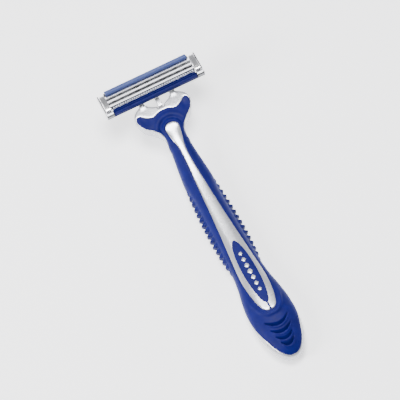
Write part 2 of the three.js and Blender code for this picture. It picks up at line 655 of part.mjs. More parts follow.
const razor = new THREE.Group();
razor.add(
  node('handle_core', handleCore(), silverPlastic),
  node('grip_overmould', gripOvermould(), blueRubber),
  node('oval_inset', ovalInset(), blueRubber),
  node('rear_pad', rearPad(), blueRubber),
  node('return_tongue', returnTongue(), silverPlastic),
  head,
);

// Origin at the middle of the base
const part = new THREE.Group();
part.add(razor);
part.updateMatrixWorld(true);
const bounds = new THREE.Box3().setFromObject(razor, true);
razor.position.set(0, -(bounds.min.y + bounds.max.y) / 2, -bounds.min.z);
part.updateMatrixWorld(true);

export default part;
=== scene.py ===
# %% [markdown]
# # A disposable cartridge razor
#
# The razor lies on its back on a pale floor. It has a two-shot handle, silver plastic under blue
# rubber, and a small sprung head with three blades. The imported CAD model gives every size, place and
# joint. This lesson makes the fine surfaces over it, piece by piece, and then lights it.

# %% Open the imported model
import json
import math

import bmesh
import bpy
import numpy as np
from mathutils import Matrix, Vector


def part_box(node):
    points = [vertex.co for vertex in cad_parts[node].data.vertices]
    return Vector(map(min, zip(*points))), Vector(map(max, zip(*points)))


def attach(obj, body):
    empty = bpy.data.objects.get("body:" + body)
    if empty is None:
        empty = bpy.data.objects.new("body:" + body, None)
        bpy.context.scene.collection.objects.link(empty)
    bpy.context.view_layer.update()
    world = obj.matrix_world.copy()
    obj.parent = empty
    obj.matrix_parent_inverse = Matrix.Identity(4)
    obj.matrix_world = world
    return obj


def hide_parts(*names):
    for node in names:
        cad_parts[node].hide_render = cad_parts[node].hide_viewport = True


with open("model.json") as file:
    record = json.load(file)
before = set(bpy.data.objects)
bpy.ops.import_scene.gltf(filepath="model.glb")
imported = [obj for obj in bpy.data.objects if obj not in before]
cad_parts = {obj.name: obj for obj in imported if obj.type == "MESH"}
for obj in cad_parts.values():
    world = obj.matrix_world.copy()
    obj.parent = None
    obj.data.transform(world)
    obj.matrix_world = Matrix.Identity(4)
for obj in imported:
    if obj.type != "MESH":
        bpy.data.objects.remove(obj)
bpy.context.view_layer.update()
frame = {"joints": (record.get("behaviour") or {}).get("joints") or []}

MM = 0.001

# %% [markdown]
# ## Two places to measure from
#
# Everything on the handle is measured in millimetres from the tail tip: x across, y along, z up from
# the flat back. Everything on the head is measured from the middle of its shaving face: x across,
# t along the face towards the cap, n out of the face. The blades slide straight out of the face, so
# the axis of their joint is the face's normal, and the pivot tells where the face is.

# %% The two frames
CORE_START = 0.12
tail_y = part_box("handle_core")[0].y / MM - CORE_START
joints = {joint["name"]: joint for joint in frame["joints"]}
face_normal = Vector(joints["blade_1_float"]["axis"]).normalized()
face_up = face_normal.cross(Vector((1, 0, 0)))
PIVOT_T = -1.5
PIVOT_N = -4.4
pivot = Vector(joints["head_pivot"]["pos_m"]) / MM
face_centre = pivot - face_up * PIVOT_T - face_normal * PIVOT_N
pivot_y = pivot.y - tail_y
pivot_z = pivot.z
print("tail tip at y =", round(tail_y, 2), "mm, face centre at", [round(v, 2) for v in face_centre])


def on_handle(points):
    """Handle millimetres to the razor's frame in metres."""
    points = np.asarray(points, float)
    return (points + [0, tail_y, 0]) * MM


def on_head(points):
    """Head millimetres (x, t, n) to the razor's frame in metres."""
    points = np.asarray(points, float)
    axes = np.array([[1, 0, 0], list(face_up), list(face_normal)])
    return (points @ axes + np.array(face_centre)) * MM


# %% [markdown]
# ## The lines that shape the handle
#
# A handle like this is drawn as a few long curves: its outline from above, its front and back in side
# view, the parting line where the rubber stops, and the outline of the window. Each curve needs only
# a few points, joined smoothly.

# %% Curves along the handle
def smooth_line(points):
    """A smooth curve through (at, value) points, flat beyond its ends."""
    at, value = np.array(points, float).T
    count = len(at)
    before = np.maximum(np.arange(count) - 1, 0)
    after = np.minimum(np.arange(count) + 1, count - 1)
    slope = (value[after] - value[before]) / (at[after] - at[before])

    def line(y):
        y = np.clip(y, at[0], at[-1])
        i = np.clip(np.searchsorted(at, y, side="right") - 1, 0, count - 2)
        length = at[i + 1] - at[i]
        u = (y - at[i]) / length
        bend = u * (1 - u) * ((1 - u) * slope[i] - u * slope[i + 1]) * length
        return value[i] + (value[i + 1] - value[i]) * u * u * (3 - 2 * u) + bend

    return line


BULB_Y = 18.6
BULB_HALF_WIDTH = 9.1
NOSE_LENGTH = 6
NOSE_Z = 3.8
SECTION_POWER = 2.4
BACK_FLATTENING = 1.14

flank = smooth_line([
    (BULB_Y, BULB_HALF_WIDTH), (24, 8.85), (29.5, 8.1), (35, 7.0), (41, 6.3), (50, 6.05), (62, 5.8),
    (76, 5.65), (82.6, 6.0), (90, 5.3), (98, 4.4), (102, 4.6), (106, 5.2),
])
front_height = smooth_line([
    (0, 8.0), (10, 9.0), (20, 9.8), (40, 9.6), (60, 9.5), (80, 10.1), (90, 11.2), (98, 13.0), (106, 15.0),
])
back_line = smooth_line([(0, 0.6), (6, -0.1), (30, -0.1), (78, -0.1), (86, 1.2), (95, 4.0), (106, 8.3)])
parting_height = smooth_line([
    (0, 5.6), (12, 5.2), (24, 3.6), (40, 2.2), (78, 2.2), (90, 4.2), (98, 7.4), (106, 10.6), (115, 12.6),
])
window_half_width = smooth_line([
    (20.2, 1.3), (21.7, 2.8), (23.4, 3.5), (27, 4.4), (35.4, 5.2), (46, 4.5), (56.5, 3.55),
    (67, 2.75), (82.6, 1.75), (92.7, 1.17), (97.5, 1.5), (100.5, 2.35), (104.3, 2.9),
])
yoke_half_width = smooth_line([
    (98, 4.1), (102, 4.5), (105, 5.7), (106.8, 7.5), (108.6, 9.8), (111, 11.4), (113.5, 11.8),
    (115.5, 11.3), (117, 10.0), (118.2, 7.7),
])
yoke_top = smooth_line([(98, 12.9), (104, 14.7), (108, 15.4), (113, 15.9), (118.2, 16.2)])
yoke_bottom = smooth_line([(98, 5.2), (105, 8.0), (113, 11.2), (118.2, 13.4)])
rubber_front_edge = smooth_line([
    (0, 113.0), (2.2, 112.7), (4.9, 111.8), (7.4, 112.8), (9.4, 114.3), (10.5, 114.4), (11.4, 113.2),
])


def handle_half_width(y):
    """Half width of the handle: an ellipse round the tail, then the flank's curve."""
    tail = BULB_HALF_WIDTH * np.sqrt(np.clip(1 - ((BULB_Y - y) / BULB_Y) ** 2, 0, 1))
    return np.where(y < BULB_Y, tail, flank(y))


def section(y):
    """Half width, front, back and middle height of the handle at y."""
    nose = np.sqrt(np.clip(1 - (np.clip(NOSE_LENGTH - y, 0, None) / NOSE_LENGTH) ** 2, 0, 1))
    front = NOSE_Z + (front_height(y) - NOSE_Z) * nose
    back = NOSE_Z - (NOSE_Z - np.maximum(back_line(y), 0)) * nose
    return handle_half_width(y), front, back, back + (front - back) * 0.45


def section_points(y, angles, lower=0.0, narrow=0.0):
    """Points (x, z) round the handle's section at y. Angle 0 is the flank, 90 degrees the front."""
    width, front, back, middle = section(y)
    power = 2 / SECTION_POWER
    rise = np.sign(np.sin(angles)) * np.abs(np.sin(angles)) ** power
    x = (width - narrow) * np.sign(np.cos(angles)) * np.abs(np.cos(angles)) ** power
    above = middle + (front - lower - middle) * rise
    below = np.maximum(middle + (middle - back) * BACK_FLATTENING * rise, back)
    return np.stack([x, np.where(rise > 0, above, below)], -1)


print("half widths at bulb, waist, neck:", [round(float(handle_half_width(y)), 2) for y in (18.6, 45, 98)])

# %% [markdown]
# ## Making a mesh
#
# Each piece is built from rows of points. These helpers turn rows into faces, prisms into solid
# bars across the head, and put the finished piece on the body that it moves with.

# %% Mesh helpers
def loose_object(name, part, to_row):
    """A closed smooth-shaded mesh from a part's points and faces, placed in the razor's frame."""
    points, faces = part
    mesh = bpy.data.meshes.new(name)
    mesh.from_pydata([tuple(p) for p in to_row(points)], [], faces)
    made = bpy.data.objects.new(name, mesh)
    bpy.context.scene.collection.objects.link(made)
    tidy_mesh(made)
    return made


def new_piece(name, part, to_row, body, replaced, material):
    """A visible piece, riding on a CAD body."""
    piece = loose_object(name, part, to_row)
    dress(piece, body, replaced, material)
    return piece


def shade(piece, smooth):
    """Shades all faces of a piece smooth, or all flat."""
    piece.data.polygons.foreach_set("use_smooth", [smooth] * len(piece.data.polygons))


def tidy_mesh(piece, merge=1e-7):
    """Merges doubled points and turns all faces outwards."""
    work = bmesh.new()
    work.from_mesh(piece.data)
    bmesh.ops.remove_doubles(work, verts=work.verts, dist=merge)
    bmesh.ops.dissolve_degenerate(work, edges=work.edges, dist=merge)
    bmesh.ops.recalc_face_normals(work, faces=work.faces)
    work.to_mesh(piece.data)
    work.free()
    shade(piece, True)


def dress(piece, body, replaced, material):
    """Puts a piece on its body, slot and material, in place of the CAD nodes it stands for."""
    piece.data.materials.clear()
    piece.data.materials.append(material)
    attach(piece, body)
    if replaced:
        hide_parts(*replaced)
    print(piece.name, "has", len(piece.data.polygons), "faces and rides on", body)


def rows_to_faces(rows, columns, closed=False):
    """Quads between neighbouring rows of equal length."""
    faces = []
    for i in range(rows - 1):
        for j in range(columns if closed else columns - 1):
            k = (j + 1) % columns
            faces.append((i * columns + j, i * columns + k, (i + 1) * columns + k, (i + 1) * columns + j))
    return faces


def capped(rows, columns):
    """Faces of a tube whose rows are closed rings, with a cap on each end."""
    last = (rows - 1) * columns
    caps = [tuple(range(columns)), tuple(range(last + columns - 1, last - 1, -1))]
    return rows_to_faces(rows, columns, closed=True) + caps


def bar(outline, left, right):
    """A prism across the head: an outline of (t, n) or (y, z) points, drawn from x left to right."""
    points = [(x, *point) for x in (left, right) for point in outline]
    return points, capped(2, len(outline))


def box(low, high):
    """A box from two corners (x, t, n)."""
    outline = [(low[1], low[2]), (high[1], low[2]), (high[1], high[2]), (low[1], high[2])]
    return bar(outline, low[0], high[0])


def put_together(parts):
    """Several point and face lists as one."""
    points, faces = [], []
    for part_points, part_faces in parts:
        faces += [tuple(i + len(points) for i in face) for face in part_faces]
        points += [tuple(p) for p in part_points]
    return points, faces


def rounded(piece, radius, segments=3, angle=28):
    """Softens the edges with a bevel, as a mould or a press leaves them."""
    bevel = piece.modifiers.new("softened edges", "BEVEL")
    bevel.width = radius * MM
    bevel.segments = segments
    bevel.limit_method = "ANGLE"
    bevel.angle_limit = math.radians(angle)
    bevel.harden_normals = True
    return piece


def apply_modifiers(piece):
    """Replaces the piece's mesh with what its modifiers make of it."""
    depsgraph = bpy.context.evaluated_depsgraph_get()
    made = bpy.data.meshes.new_from_object(piece.evaluated_get(depsgraph))
    piece.modifiers.clear()
    piece.data = made


def mirrored_pairs(make):
    """A part made on the right, and again on the left with x turned round."""
    points, faces = make()
    return [(points, faces), ([(-x, t, n) for x, t, n in points], [face[::-1] for face in faces])]


# %% [markdown]
# ## Colour and nodes
#
# Colours are written as the sRGB hex values that a colour picker shows, and turned to linear light by
# one function. One more small function adds a node with its settings and links.

# %% Material helpers
def linear(hex_colour):
    """An sRGB hex colour as linear red, green, blue and alpha."""
    channels = [int(hex_colour[i:i + 2], 16) / 255 for i in (1, 3, 5)]
    return [c / 12.92 if c <= 0.04045 else ((c + 0.055) / 1.055) ** 2.4 for c in channels] + [1.0]


def add(tree, kind, sockets=None, **settings):
    """A node of a kind, with its settings, and with values or links for its sockets."""
    node = tree.nodes.new(kind)
    for name, value in settings.items():
        setattr(node, name, value)
    for name, value in (sockets or {}).items():
        if isinstance(value, bpy.types.NodeSocket):
            tree.links.new(value, node.inputs[name])
        else:
            node.inputs[name].default_value = value
    return node


def start_material(name, **shader_values):
    """A material with a Principled shader whose own sockets hold the even values."""
    made = bpy.data.materials.new(name)
    made.use_nodes = True
    tree = made.node_tree
    shader = tree.nodes["Principled BSDF"]
    for socket, value in shader_values.items():
        shader.inputs[socket.replace("_", " ")].default_value = value
    place = add(tree, "ShaderNodeTexCoord").outputs["Object"]
    return made, tree, shader, place


def per_metre(millimetres):
    """A texture scale whose features are about this many millimetres across."""
    return 1 / (millimetres * MM)


def mottle(tree, place, size_mm, detail=2.0, stretch=(1, 1, 1)):
    """Noise with features of a real size, stretched along an axis if asked."""
    placed = add(tree, "ShaderNodeMapping", {"Vector": place, "Scale": stretch}).outputs["Vector"]
    noise = add(tree, "ShaderNodeTexNoise", {"Vector": placed, "Scale": per_metre(size_mm), "Detail": detail})
    return noise.outputs["Fac"]


def tint(tree, shader, factor, low, high, start=0.3, end=0.7):
    """Colour that runs from low to high as the factor does."""
    spread = add(tree, "ShaderNodeMapRange", {"Value": factor, "From Min": start, "From Max": end})
    mix = add(tree, "ShaderNodeMix", data_type="RGBA")
    tree.links.new(spread.outputs["Result"], mix.inputs["Factor"])
    mix.inputs[6].default_value = linear(low)
    mix.inputs[7].default_value = linear(high)
    tree.links.new(mix.outputs[2], shader.inputs["Base Color"])


def roughen(tree, shader, factor, low, high):
    """Roughness that runs from low to high as the factor does."""
    spread = add(tree, "ShaderNodeMapRange", {
        "Value": factor, "From Min": 0.3, "From Max": 0.7, "To Min": low, "To Max": high,
    })
    tree.links.new(spread.outputs["Result"], shader.inputs["Roughness"])


def relief(tree, shader, height, depth_mm):
    """Bump of a real depth."""
    bump = add(tree, "ShaderNodeBump", {"Height": height, "Distance": depth_mm * MM, "Strength": 1.0})
    tree.links.new(bump.outputs["Normal"], shader.inputs["Normal"])


# %% [markdown]
# ## Pearl silver ABS, injection moulded
#
# The hard shot is ABS coloured with a fine silver flake. It is plastic, so it is only partly a
# mirror: a soft metallic body under a clear polished skin. The flakes are 0.05 to 0.1 mm, too fine to
# show here, so they are drawn 0.25 mm across. The moulded skin has a faint, long orange peel.

# %% Silver plastics
FLAKE_MM = 0.25
POLISH_MM = 4.0
ORANGE_PEEL_MM = 6.0
ORANGE_PEEL_DEPTH_MM = 0.003


def pearl_plastic(name, low, high, metallic, roughness):
    """Flake under a clear skin: a soft metal shine with a polished glint on top."""
    made, tree, shader, place = start_material(
        name, Metallic=metallic, IOR=1.53, Coat_Weight=0.35, Coat_Roughness=0.12,
    )
    tint(tree, shader, mottle(tree, place, FLAKE_MM, detail=1.0), low, high)
    roughen(tree, shader, mottle(tree, place, POLISH_MM), roughness - 0.02, roughness + 0.02)
    relief(tree, shader, mottle(tree, place, ORANGE_PEEL_MM, detail=0.0), ORANGE_PEEL_DEPTH_MM)
    return made


silver_abs = pearl_plastic("pearl silver ABS, moulded", "#b6b7bc", "#c0c1c6", 0.66, 0.27)
# The head frame is silver, but its colour is set much darker: painted shade for the gaps round the clips and
# under the blades.
frame_plastic_painted_shade = pearl_plastic("silver PPO head frame, darkened as painted shade", "#66676b", "#78797d", 0.75, 0.22)
print("made", silver_abs.name, "and", frame_plastic_painted_shade.name)

# %% [markdown]
# ## Thermoplastic rubber, overmoulded
#
# The grip is a styrenic thermoplastic rubber moulded over the hard shot. It is satin: light from the
# side spreads wide and gives its edges a pale bloom. The mould is spark eroded, which leaves a grain
# of about 0.15 mm; it is drawn at 0.3 mm so that it can be seen.

# %% Rubbers
def moulded_rubber(name, low, high, roughness, grain_mm=0.3, sheen=0.16):
    """Deep colour, a dull spark-eroded face, and a pale bloom at its edges."""
    made, tree, shader, place = start_material(
        name, IOR=1.5, Specular_IOR_Level=0.1, Sheen_Weight=sheen, Sheen_Roughness=0.5,
    )
    shader.inputs["Sheen Tint"].default_value = linear("#5f78e0")
    tint(tree, shader, mottle(tree, place, 3.0), low, high)
    roughen(tree, shader, mottle(tree, place, 1.5), roughness - 0.05, roughness + 0.05)
    relief(tree, shader, mottle(tree, place, grain_mm, detail=1.0), 0.012)
    return made


blue_rubber = moulded_rubber("blue thermoplastic rubber, moulded", "#040748", "#060a52", 0.5)
navy_rubber = moulded_rubber("navy thermoplastic rubber, moulded", "#040740", "#050a4a", 0.48)
pale_rubber = moulded_rubber("pale fin rubber, moulded", "#b9bdd0", "#ccd0e0", 0.4)
print("made", blue_rubber.name, navy_rubber.name, "and", pale_rubber.name)

# %% [markdown]
# ## Lubricating strip, extruded polymer
#
# The strip is polystyrene filled with a gum that turns slippery when wet. It is extruded, so its
# surface has faint draw lines along its length, about 0.2 mm apart, and it is dull and a little waxy.

# %% Strip polymer
def strip_polymer():
    """A waxy slate blue with draw lines along it."""
    made, tree, shader, place = start_material(
        "lubricating polymer, extruded", IOR=1.48, Specular_IOR_Level=0.35,
    )
    lines = mottle(tree, place, 0.22, detail=2.0, stretch=(0.03, 1, 1))
    tint(tree, shader, lines, "#2c3a6c", "#394779")
    roughen(tree, shader, mottle(tree, place, 0.8), 0.45, 0.6)
    relief(tree, shader, lines, 0.02)
    return made


strip_gum = strip_polymer()
print("made", strip_gum.name)

# %% [markdown]
# ## Blade steel, ground and coated, and pressed clips
#
# The strips are hard stainless steel, ground along their length and coated so thinly that they stay a
# clean mirror with fine lines. The carriers are duller stamped steel, and their colour is darker still
# as painted shade for the dark lines between the blades. The clips are soft rolled
# aluminium, bright, with a faint rolling grain.

# %% Metals
def long_grained_metal(name, low, high, roughness, grain_mm, depth_mm):
    """A mirror drawn out into fine lines along the head, as grinding or rolling leaves it."""
    made, tree, shader, place = start_material(name, Metallic=1.0)
    grain = mottle(tree, place, grain_mm, detail=3.0, stretch=(0.02, 1, 1))
    tint(tree, shader, grain, low, high)
    roughen(tree, shader, grain, roughness - 0.05, roughness + 0.07)
    relief(tree, shader, grain, depth_mm)
    return made


blade_steel = long_grained_metal("stainless blade steel, ground", "#d2d2d4", "#e4e4e6", 0.2, 0.12, 0.004)
# The carriers' dark grey is partly the stamped steel's duller tone and partly painted shade between the
# blades.
carrier_steel_painted_shade = long_grained_metal("stainless carrier steel, stamped, darkened as painted shade", "#85868a", "#98999d", 0.42, 0.3, 0.006)
clip_aluminium = long_grained_metal("clip aluminium, rolled", "#d9dadd", "#ebebed", 0.17, 0.2, 0.003)
print("made", blade_steel.name, carrier_steel_painted_shade.name, "and", clip_aluminium.name)

# %% [markdown]
# ## How the two shots share the surface
#
# The silver core and the blue rubber meet along the window's outline, the parting line, the tail's rim
# and the front edge on the fork. These outlines are settled first, because both pieces follow them.

# %% Outlines between silver and blue
WINDOW_TOP_CENTRE_Y = 104.3
WINDOW_TOP_RADIUS = 2.9
WINDOW_BOTTOM_Y = 20.2
GRIP_START_Y = 1.1
GRIP_THICKNESS = 1.1
BEND_START_Y = 108.2
EAR_INSET = 0.4
TAIL_RIM = 0.9
RIM_CLIMB_END_Y = 10
RIM_CLIMB_START_Y = 31
FORK_START_Y = 99
FORK_END_Y = 105.9


def ease(value, start, end):
    """Rises smoothly from 0 at start to 1 at end."""
    u = np.clip((value - start) / (end - start), 0, 1)
    return u * u * (3 - 2 * u)


def hump(distance, width):
    """A smooth bump, 1 in its middle."""
    return np.exp(-(distance / width) ** 2)


def window_edge(y):
    """Half width of the window at y, and 0 beyond its ends."""
    top = np.sqrt(np.clip(WINDOW_TOP_RADIUS ** 2 - (y - WINDOW_TOP_CENTRE_Y) ** 2, 0, None))
    inside = (y >= WINDOW_BOTTOM_Y) & (y <= WINDOW_TOP_CENTRE_Y + WINDOW_TOP_RADIUS)
    return np.where(y > WINDOW_TOP_CENTRE_Y, top, window_half_width(y)) * inside


window_ys = np.concatenate([
    np.linspace(WINDOW_BOTTOM_Y, 30, 60), np.linspace(30, 98, 120),
    WINDOW_TOP_CENTRE_Y + WINDOW_TOP_RADIUS * np.sin(np.linspace(-1.2, math.pi / 2, 60)),
])
window_outline = np.column_stack([window_edge(window_ys), window_ys])
window_outline = np.concatenate([[[0, WINDOW_BOTTOM_Y], [0.6, WINDOW_BOTTOM_Y]], window_outline])


def distance_to_window(x, y):
    """How far a point on the rubber is from the window's outline, in plan."""
    gaps = np.hypot(x[..., None] - window_outline[:, 0], y[..., None] - window_outline[:, 1])
    return gaps.min(-1)


def rubber_reach(y):
    """How far out the rubber goes near the tail, where a silver rim shows beside it."""
    tail = np.clip(BULB_Y - y, 0, None)
    round_end = np.sqrt(np.clip(1 - (tail / (BULB_Y - GRIP_START_Y + 0.02)) ** 2, 0, 1))
    return (BULB_HALF_WIDTH - TAIL_RIM * ease(tail, 0, 8)) * round_end


# %% [markdown]
# A row across the handle is a path from the middle, over the front and down the flank. Near the fork
# it changes from the handle's round section to the fork's flat top with a rounded shoulder. Both are
# drawn as paths of the same number of points, and blended.

# %% Paths across the handle
ROW_POINTS = 46
UNDER_STEP = 5
EDGE_SPACING = [0, 0.03, 0.08, 0.16, 0.27, 0.4]


def spaced_along(path):
    """The path again, with points packed at both ends for the rounded edges."""
    steps = np.hypot(*np.diff(path, axis=0).T)
    length = np.concatenate([[0], np.cumsum(steps)])
    total = length[-1]
    edge = np.minimum(np.array(EDGE_SPACING), total * np.linspace(0, 0.2, len(EDGE_SPACING)) + 1e-4)
    inside = np.linspace(edge[-1], total - edge[-1], ROW_POINTS - 2 * len(edge) + 2)[1:-1]
    at = np.concatenate([edge, inside, total - edge[::-1]])
    return np.column_stack([np.interp(at, length, path[:, 0]), np.interp(at, length, path[:, 1])]), total - at


def parting_angle(y):
    """The angle in the section at which the core's own surface begins, below the flank."""
    _, front, back, middle = (float(v) for v in section(y))
    drop = float(parting_height(y)) - middle
    scale = front - middle if drop > 0 else (middle - back) * BACK_FLATTENING
    return math.copysign(math.asin(min(1, abs(drop) / scale) ** (SECTION_POWER / 2)), drop)


rim_climb = smooth_line([(10, 30.3), (13.5, 22), (17, 13), (21, 4.5), (26, -4.5), (31, -11.7)])


def rubber_angle(y):
    """The angle at which the rubber ends: it climbs from the parting line to the tail's rim."""
    if y > RIM_CLIMB_START_Y:
        return parting_angle(y)
    if y > RIM_CLIMB_END_Y:
        return math.radians(float(rim_climb(y)))
    return math.acos(min(1, float(rubber_reach(y) / section(y)[0])) ** (SECTION_POWER / 2))


def handle_row(y, inner_x, end):
    """From the window's edge over the front and down the flank to an end angle, as (x, z)."""
    start = math.acos(min(1, inner_x / float(section(y)[0])) ** (SECTION_POWER / 2))
    return section_points(y, np.linspace(start, end, 160))


def fork_row(y, inner_x, outer_x):
    """The same over the fork: nearly flat, a rounded shoulder, and a short way down."""
    top = float(yoke_top(y))
    radius = 0.55
    across = np.linspace(inner_x, outer_x - radius, 60)
    crown = 0.12 * (1 - (across / outer_x) ** 2)
    angles = np.linspace(math.pi / 2, 0, 16)[1:]
    shoulder = np.column_stack([
        outer_x - radius + radius * np.cos(angles), top - radius + radius * np.sin(angles)])
    return np.concatenate([
        np.column_stack([across, top + crown]), shoulder, [[outer_x, top - GRIP_THICKNESS - 0.2]]])


# %% [markdown]
# ## The hard core
#
# The core is one moulding: handle, neck, fork and the two arms that hold the pivot. The first three
# are one loft, sunk by the rubber's thickness where rubber will cover it. The arms are simple bars. A
# voxel remesh grows loft and arms together into one skin, and a little smoothing gives the soft
# inside corners that a mould has.

# %% Arms and journals
CRESCENT_BOTTOM_Y = 115.2
YOKE_FRONT_Y = 118.2
HORN_INNER_X = 5.5
HORN_OUTER_X = 7.7
HORN_NOSE_RADIUS = 1.2
JOURNAL_RADIUS = 1.0
JOURNAL_END_X = 9.4
CRESCENT_RADIUS = (HORN_INNER_X ** 2 + (YOKE_FRONT_Y - CRESCENT_BOTTOM_Y) ** 2) / (
    2 * (YOKE_FRONT_Y - CRESCENT_BOTTOM_Y))


def circle(centre, radius, count=40, start=0.0, end=2 * math.pi):
    """Points on a circle or an arc."""
    angles = np.linspace(start, end, count, endpoint=end - start < 6)
    return [(centre[0] + radius * math.cos(a), centre[1] + radius * math.sin(a)) for a in angles]


def round_bar(left, right, y, z, radius):
    """A round bar across the head."""
    return bar(circle((y, z), radius), left, right)


def arm():
    """One arm of the fork with its nose and its journal."""
    side = [
        (115.6, 12.6), (pivot_y + 0.2, pivot_z - HORN_NOSE_RADIUS), (pivot_y, pivot_z + HORN_NOSE_RADIUS),
        (118.2, 16.2), (115.6, 15.8),
    ]
    return put_together([
        bar(side, HORN_INNER_X, HORN_OUTER_X),
        round_bar(HORN_INNER_X, HORN_OUTER_X, pivot_y, pivot_z, HORN_NOSE_RADIUS),
        round_bar(HORN_INNER_X + 0.4, JOURNAL_END_X, pivot_y, pivot_z, JOURNAL_RADIUS),
    ])


def upright_cylinder(radius, y, low, high):
    """A cylinder standing in the middle of the handle."""
    ring = circle((0, y), radius, count=96)
    points = [(x, py, z) for z in (low, high) for x, py in ring]
    return points, capped(2, len(ring))


# %% The core's skin
VOXEL_MM = 0.24
SOFTENING_STEPS = 14
SHOWN_SINK = 0.3      # the silver lies this far below the rubber where it shows
COVERED_SINK = 1.3    # and this far where the rubber covers it
TONGUE_SLOT_HALF_WIDTH = 1.25
FORK_CORNER = 0.9
UPPER_POINTS = 64
LOWER_POINTS = 24


def resampled(path, count):
    """The path again, as evenly spaced points."""
    length = np.concatenate([[0], np.cumsum(np.hypot(*np.diff(path, axis=0).T))])
    at = np.linspace(0, length[-1], count)
    return np.column_stack([np.interp(at, length, path[:, 0]), np.interp(at, length, path[:, 1])])


def handle_back(y):
    """From the parting line down the flank to the middle of the back."""
    return section_points(y, np.linspace(parting_angle(y), -math.pi / 2, 80))


def fork_back(y):
    """The fork's side, its rounded lower corner, and its flat underside."""
    outer_x, bottom = float(yoke_half_width(y)), float(yoke_bottom(y))
    start = max(float(yoke_top(y)) - GRIP_THICKNESS - 0.2, bottom + FORK_CORNER + 0.05)
    angles = np.linspace(0, -math.pi / 2, 10)
    corner = np.column_stack([outer_x - FORK_CORNER + FORK_CORNER * np.cos(angles),
                              bottom + FORK_CORNER + FORK_CORNER * np.sin(angles)])
    return np.concatenate([[[outer_x, start]], corner, [[0, bottom]]])


def core_sink(path, y, share):
    """How far the core lies below the drawn surface: deep under the rubber, little where it shows."""
    x = path[:, 0]
    length = np.concatenate([[0], np.cumsum(np.hypot(*np.diff(path, axis=0).T))])
    edge = float(window_edge(np.array(y)))
    covered = ease(x, edge + 0.1, edge + 0.6) if edge > 0 else np.ones(len(x))
    flank_end, = section_points(y, np.array([rubber_angle(y)]))
    nearest = np.argmin(np.hypot(*(path - flank_end).T))
    on_flank = ease(length[nearest] - length, 0.1, 0.6)
    on_fork = ease(float(yoke_half_width(y)) - EAR_INSET - x, 0.1, 0.5)
    covered = covered * (on_flank * (1 - share) + on_fork * share)
    if y < GRIP_START_Y + 1:
        covered = covered * float(ease(y, GRIP_START_Y, GRIP_START_Y + 1))
    if y > BEND_START_Y:
        covered = covered * ease(rubber_front_edge(x) - y, 0.1, 0.5)
    return (SHOWN_SINK + (COVERED_SINK - SHOWN_SINK) * covered) * ease(length[-1] - length, 0, 0.7)


def core_outline(y):
    """Half of the core's section at y, from the middle of the front to the middle of the back."""
    share = float(ease(y, FORK_START_Y, FORK_END_Y))
    outer_x = float(yoke_half_width(y))
    fork_upper = resampled(fork_row(y, 0.0, outer_x), UPPER_POINTS)
    fork_lower = resampled(fork_back(y), LOWER_POINTS)
    upper, lower = fork_upper, fork_lower
    if share < 1:
        round_upper = resampled(handle_row(y, 0.0, parting_angle(y)), UPPER_POINTS)
        round_lower = resampled(handle_back(y), LOWER_POINTS)
        upper = round_upper * (1 - share) + fork_upper * share
        lower = round_lower * (1 - share) + fork_lower * share
    along = np.gradient(upper, axis=0)
    along /= np.maximum(np.hypot(along[:, 0], along[:, 1]), 1e-9)[:, None]
    inwards = np.column_stack([along[:, 1], -along[:, 0]]) * (1 - share) + np.array([0, -1]) * share
    sink = core_sink(upper, y, share)
    nose = min(1, max(0, (y - 1) / 4))
    upper = upper + inwards * (sink * nose)[:, None]
    upper[0, 0] = 0
    lower[-1, 0] = 0
    return np.concatenate([upper, lower[1:]])


def core_loft():
    """The whole core but for the arms, as rings along the handle."""
    near_tail = CORE_START + 3 * np.linspace(0, 1, 16) ** 2
    handle_ys, fork_ys = np.arange(3.5, 98, 0.45), np.arange(98, YOKE_FRONT_Y, 0.22)
    ys = np.concatenate([near_tail, handle_ys, fork_ys, [YOKE_FRONT_Y]])
    rings = []
    for y in ys:
        half = core_outline(y)
        ring = np.concatenate([half, half[-2:0:-1] * [-1, 1]])
        rings.append(np.column_stack([ring[:, 0], np.full(len(ring), y), ring[:, 1]]))
    return np.concatenate(rings), capped(len(ys), len(rings[0]))


# %% Grow them into one moulding
def cut(piece, cutter):
    """Takes one solid out of another and removes the cutter."""
    hole = piece.modifiers.new("cut", "BOOLEAN")
    hole.operation = "DIFFERENCE"
    hole.solver = "EXACT"
    hole.object = cutter
    apply_modifiers(piece)
    bpy.data.objects.remove(cutter)


def grow_together(piece, voxel_mm, smoothing):
    """Remeshes overlapping solids into one skin and softens it."""
    remesh = piece.modifiers.new("one skin", "REMESH")
    remesh.mode = "VOXEL"
    remesh.voxel_size = voxel_mm * MM
    soften = piece.modifiers.new("soft corners", "SMOOTH")
    soften.factor = 0.5
    soften.iterations = smoothing
    apply_modifiers(piece)


core = loose_object("handle_core_skin", core_loft(), on_handle)
cut(core, loose_object("crescent", upright_cylinder(
    CRESCENT_RADIUS, CRESCENT_BOTTOM_Y + CRESCENT_RADIUS, 5, 25), on_handle))
tongue_slot = box((-TONGUE_SLOT_HALF_WIDTH, 114.5, 12.4), (TONGUE_SLOT_HALF_WIDTH, 120, 20))
cut(core, loose_object("tongue slot", tongue_slot, on_handle))
arms = loose_object("arms", put_together(mirrored_pairs(arm)), on_handle)
joined_mesh = bmesh.new()
joined_mesh.from_mesh(core.data)
joined_mesh.from_mesh(arms.data)
joined_mesh.to_mesh(core.data)
joined_mesh.free()
bpy.data.objects.remove(arms)
grow_together(core, VOXEL_MM, SOFTENING_STEPS)
shade(core, True)
dress(core, "handle", ["handle_core"], silver_abs)

# %% [markdown]
# ## The rubber grip
#
# The rubber is a skin about 1.1 mm thick. It is laid out in rows across the handle. Each row starts at
# the window's edge, or at the middle where there is no window, runs over the front and down the flank,
# and stops at the parting line. Near the head the rows bend to follow the ears on the fork. All the
# relief, such as fins, ridges and thumb grooves, is a push in or out of that skin, so the grip stays
# one piece with round edges, as a rubber moulding is.

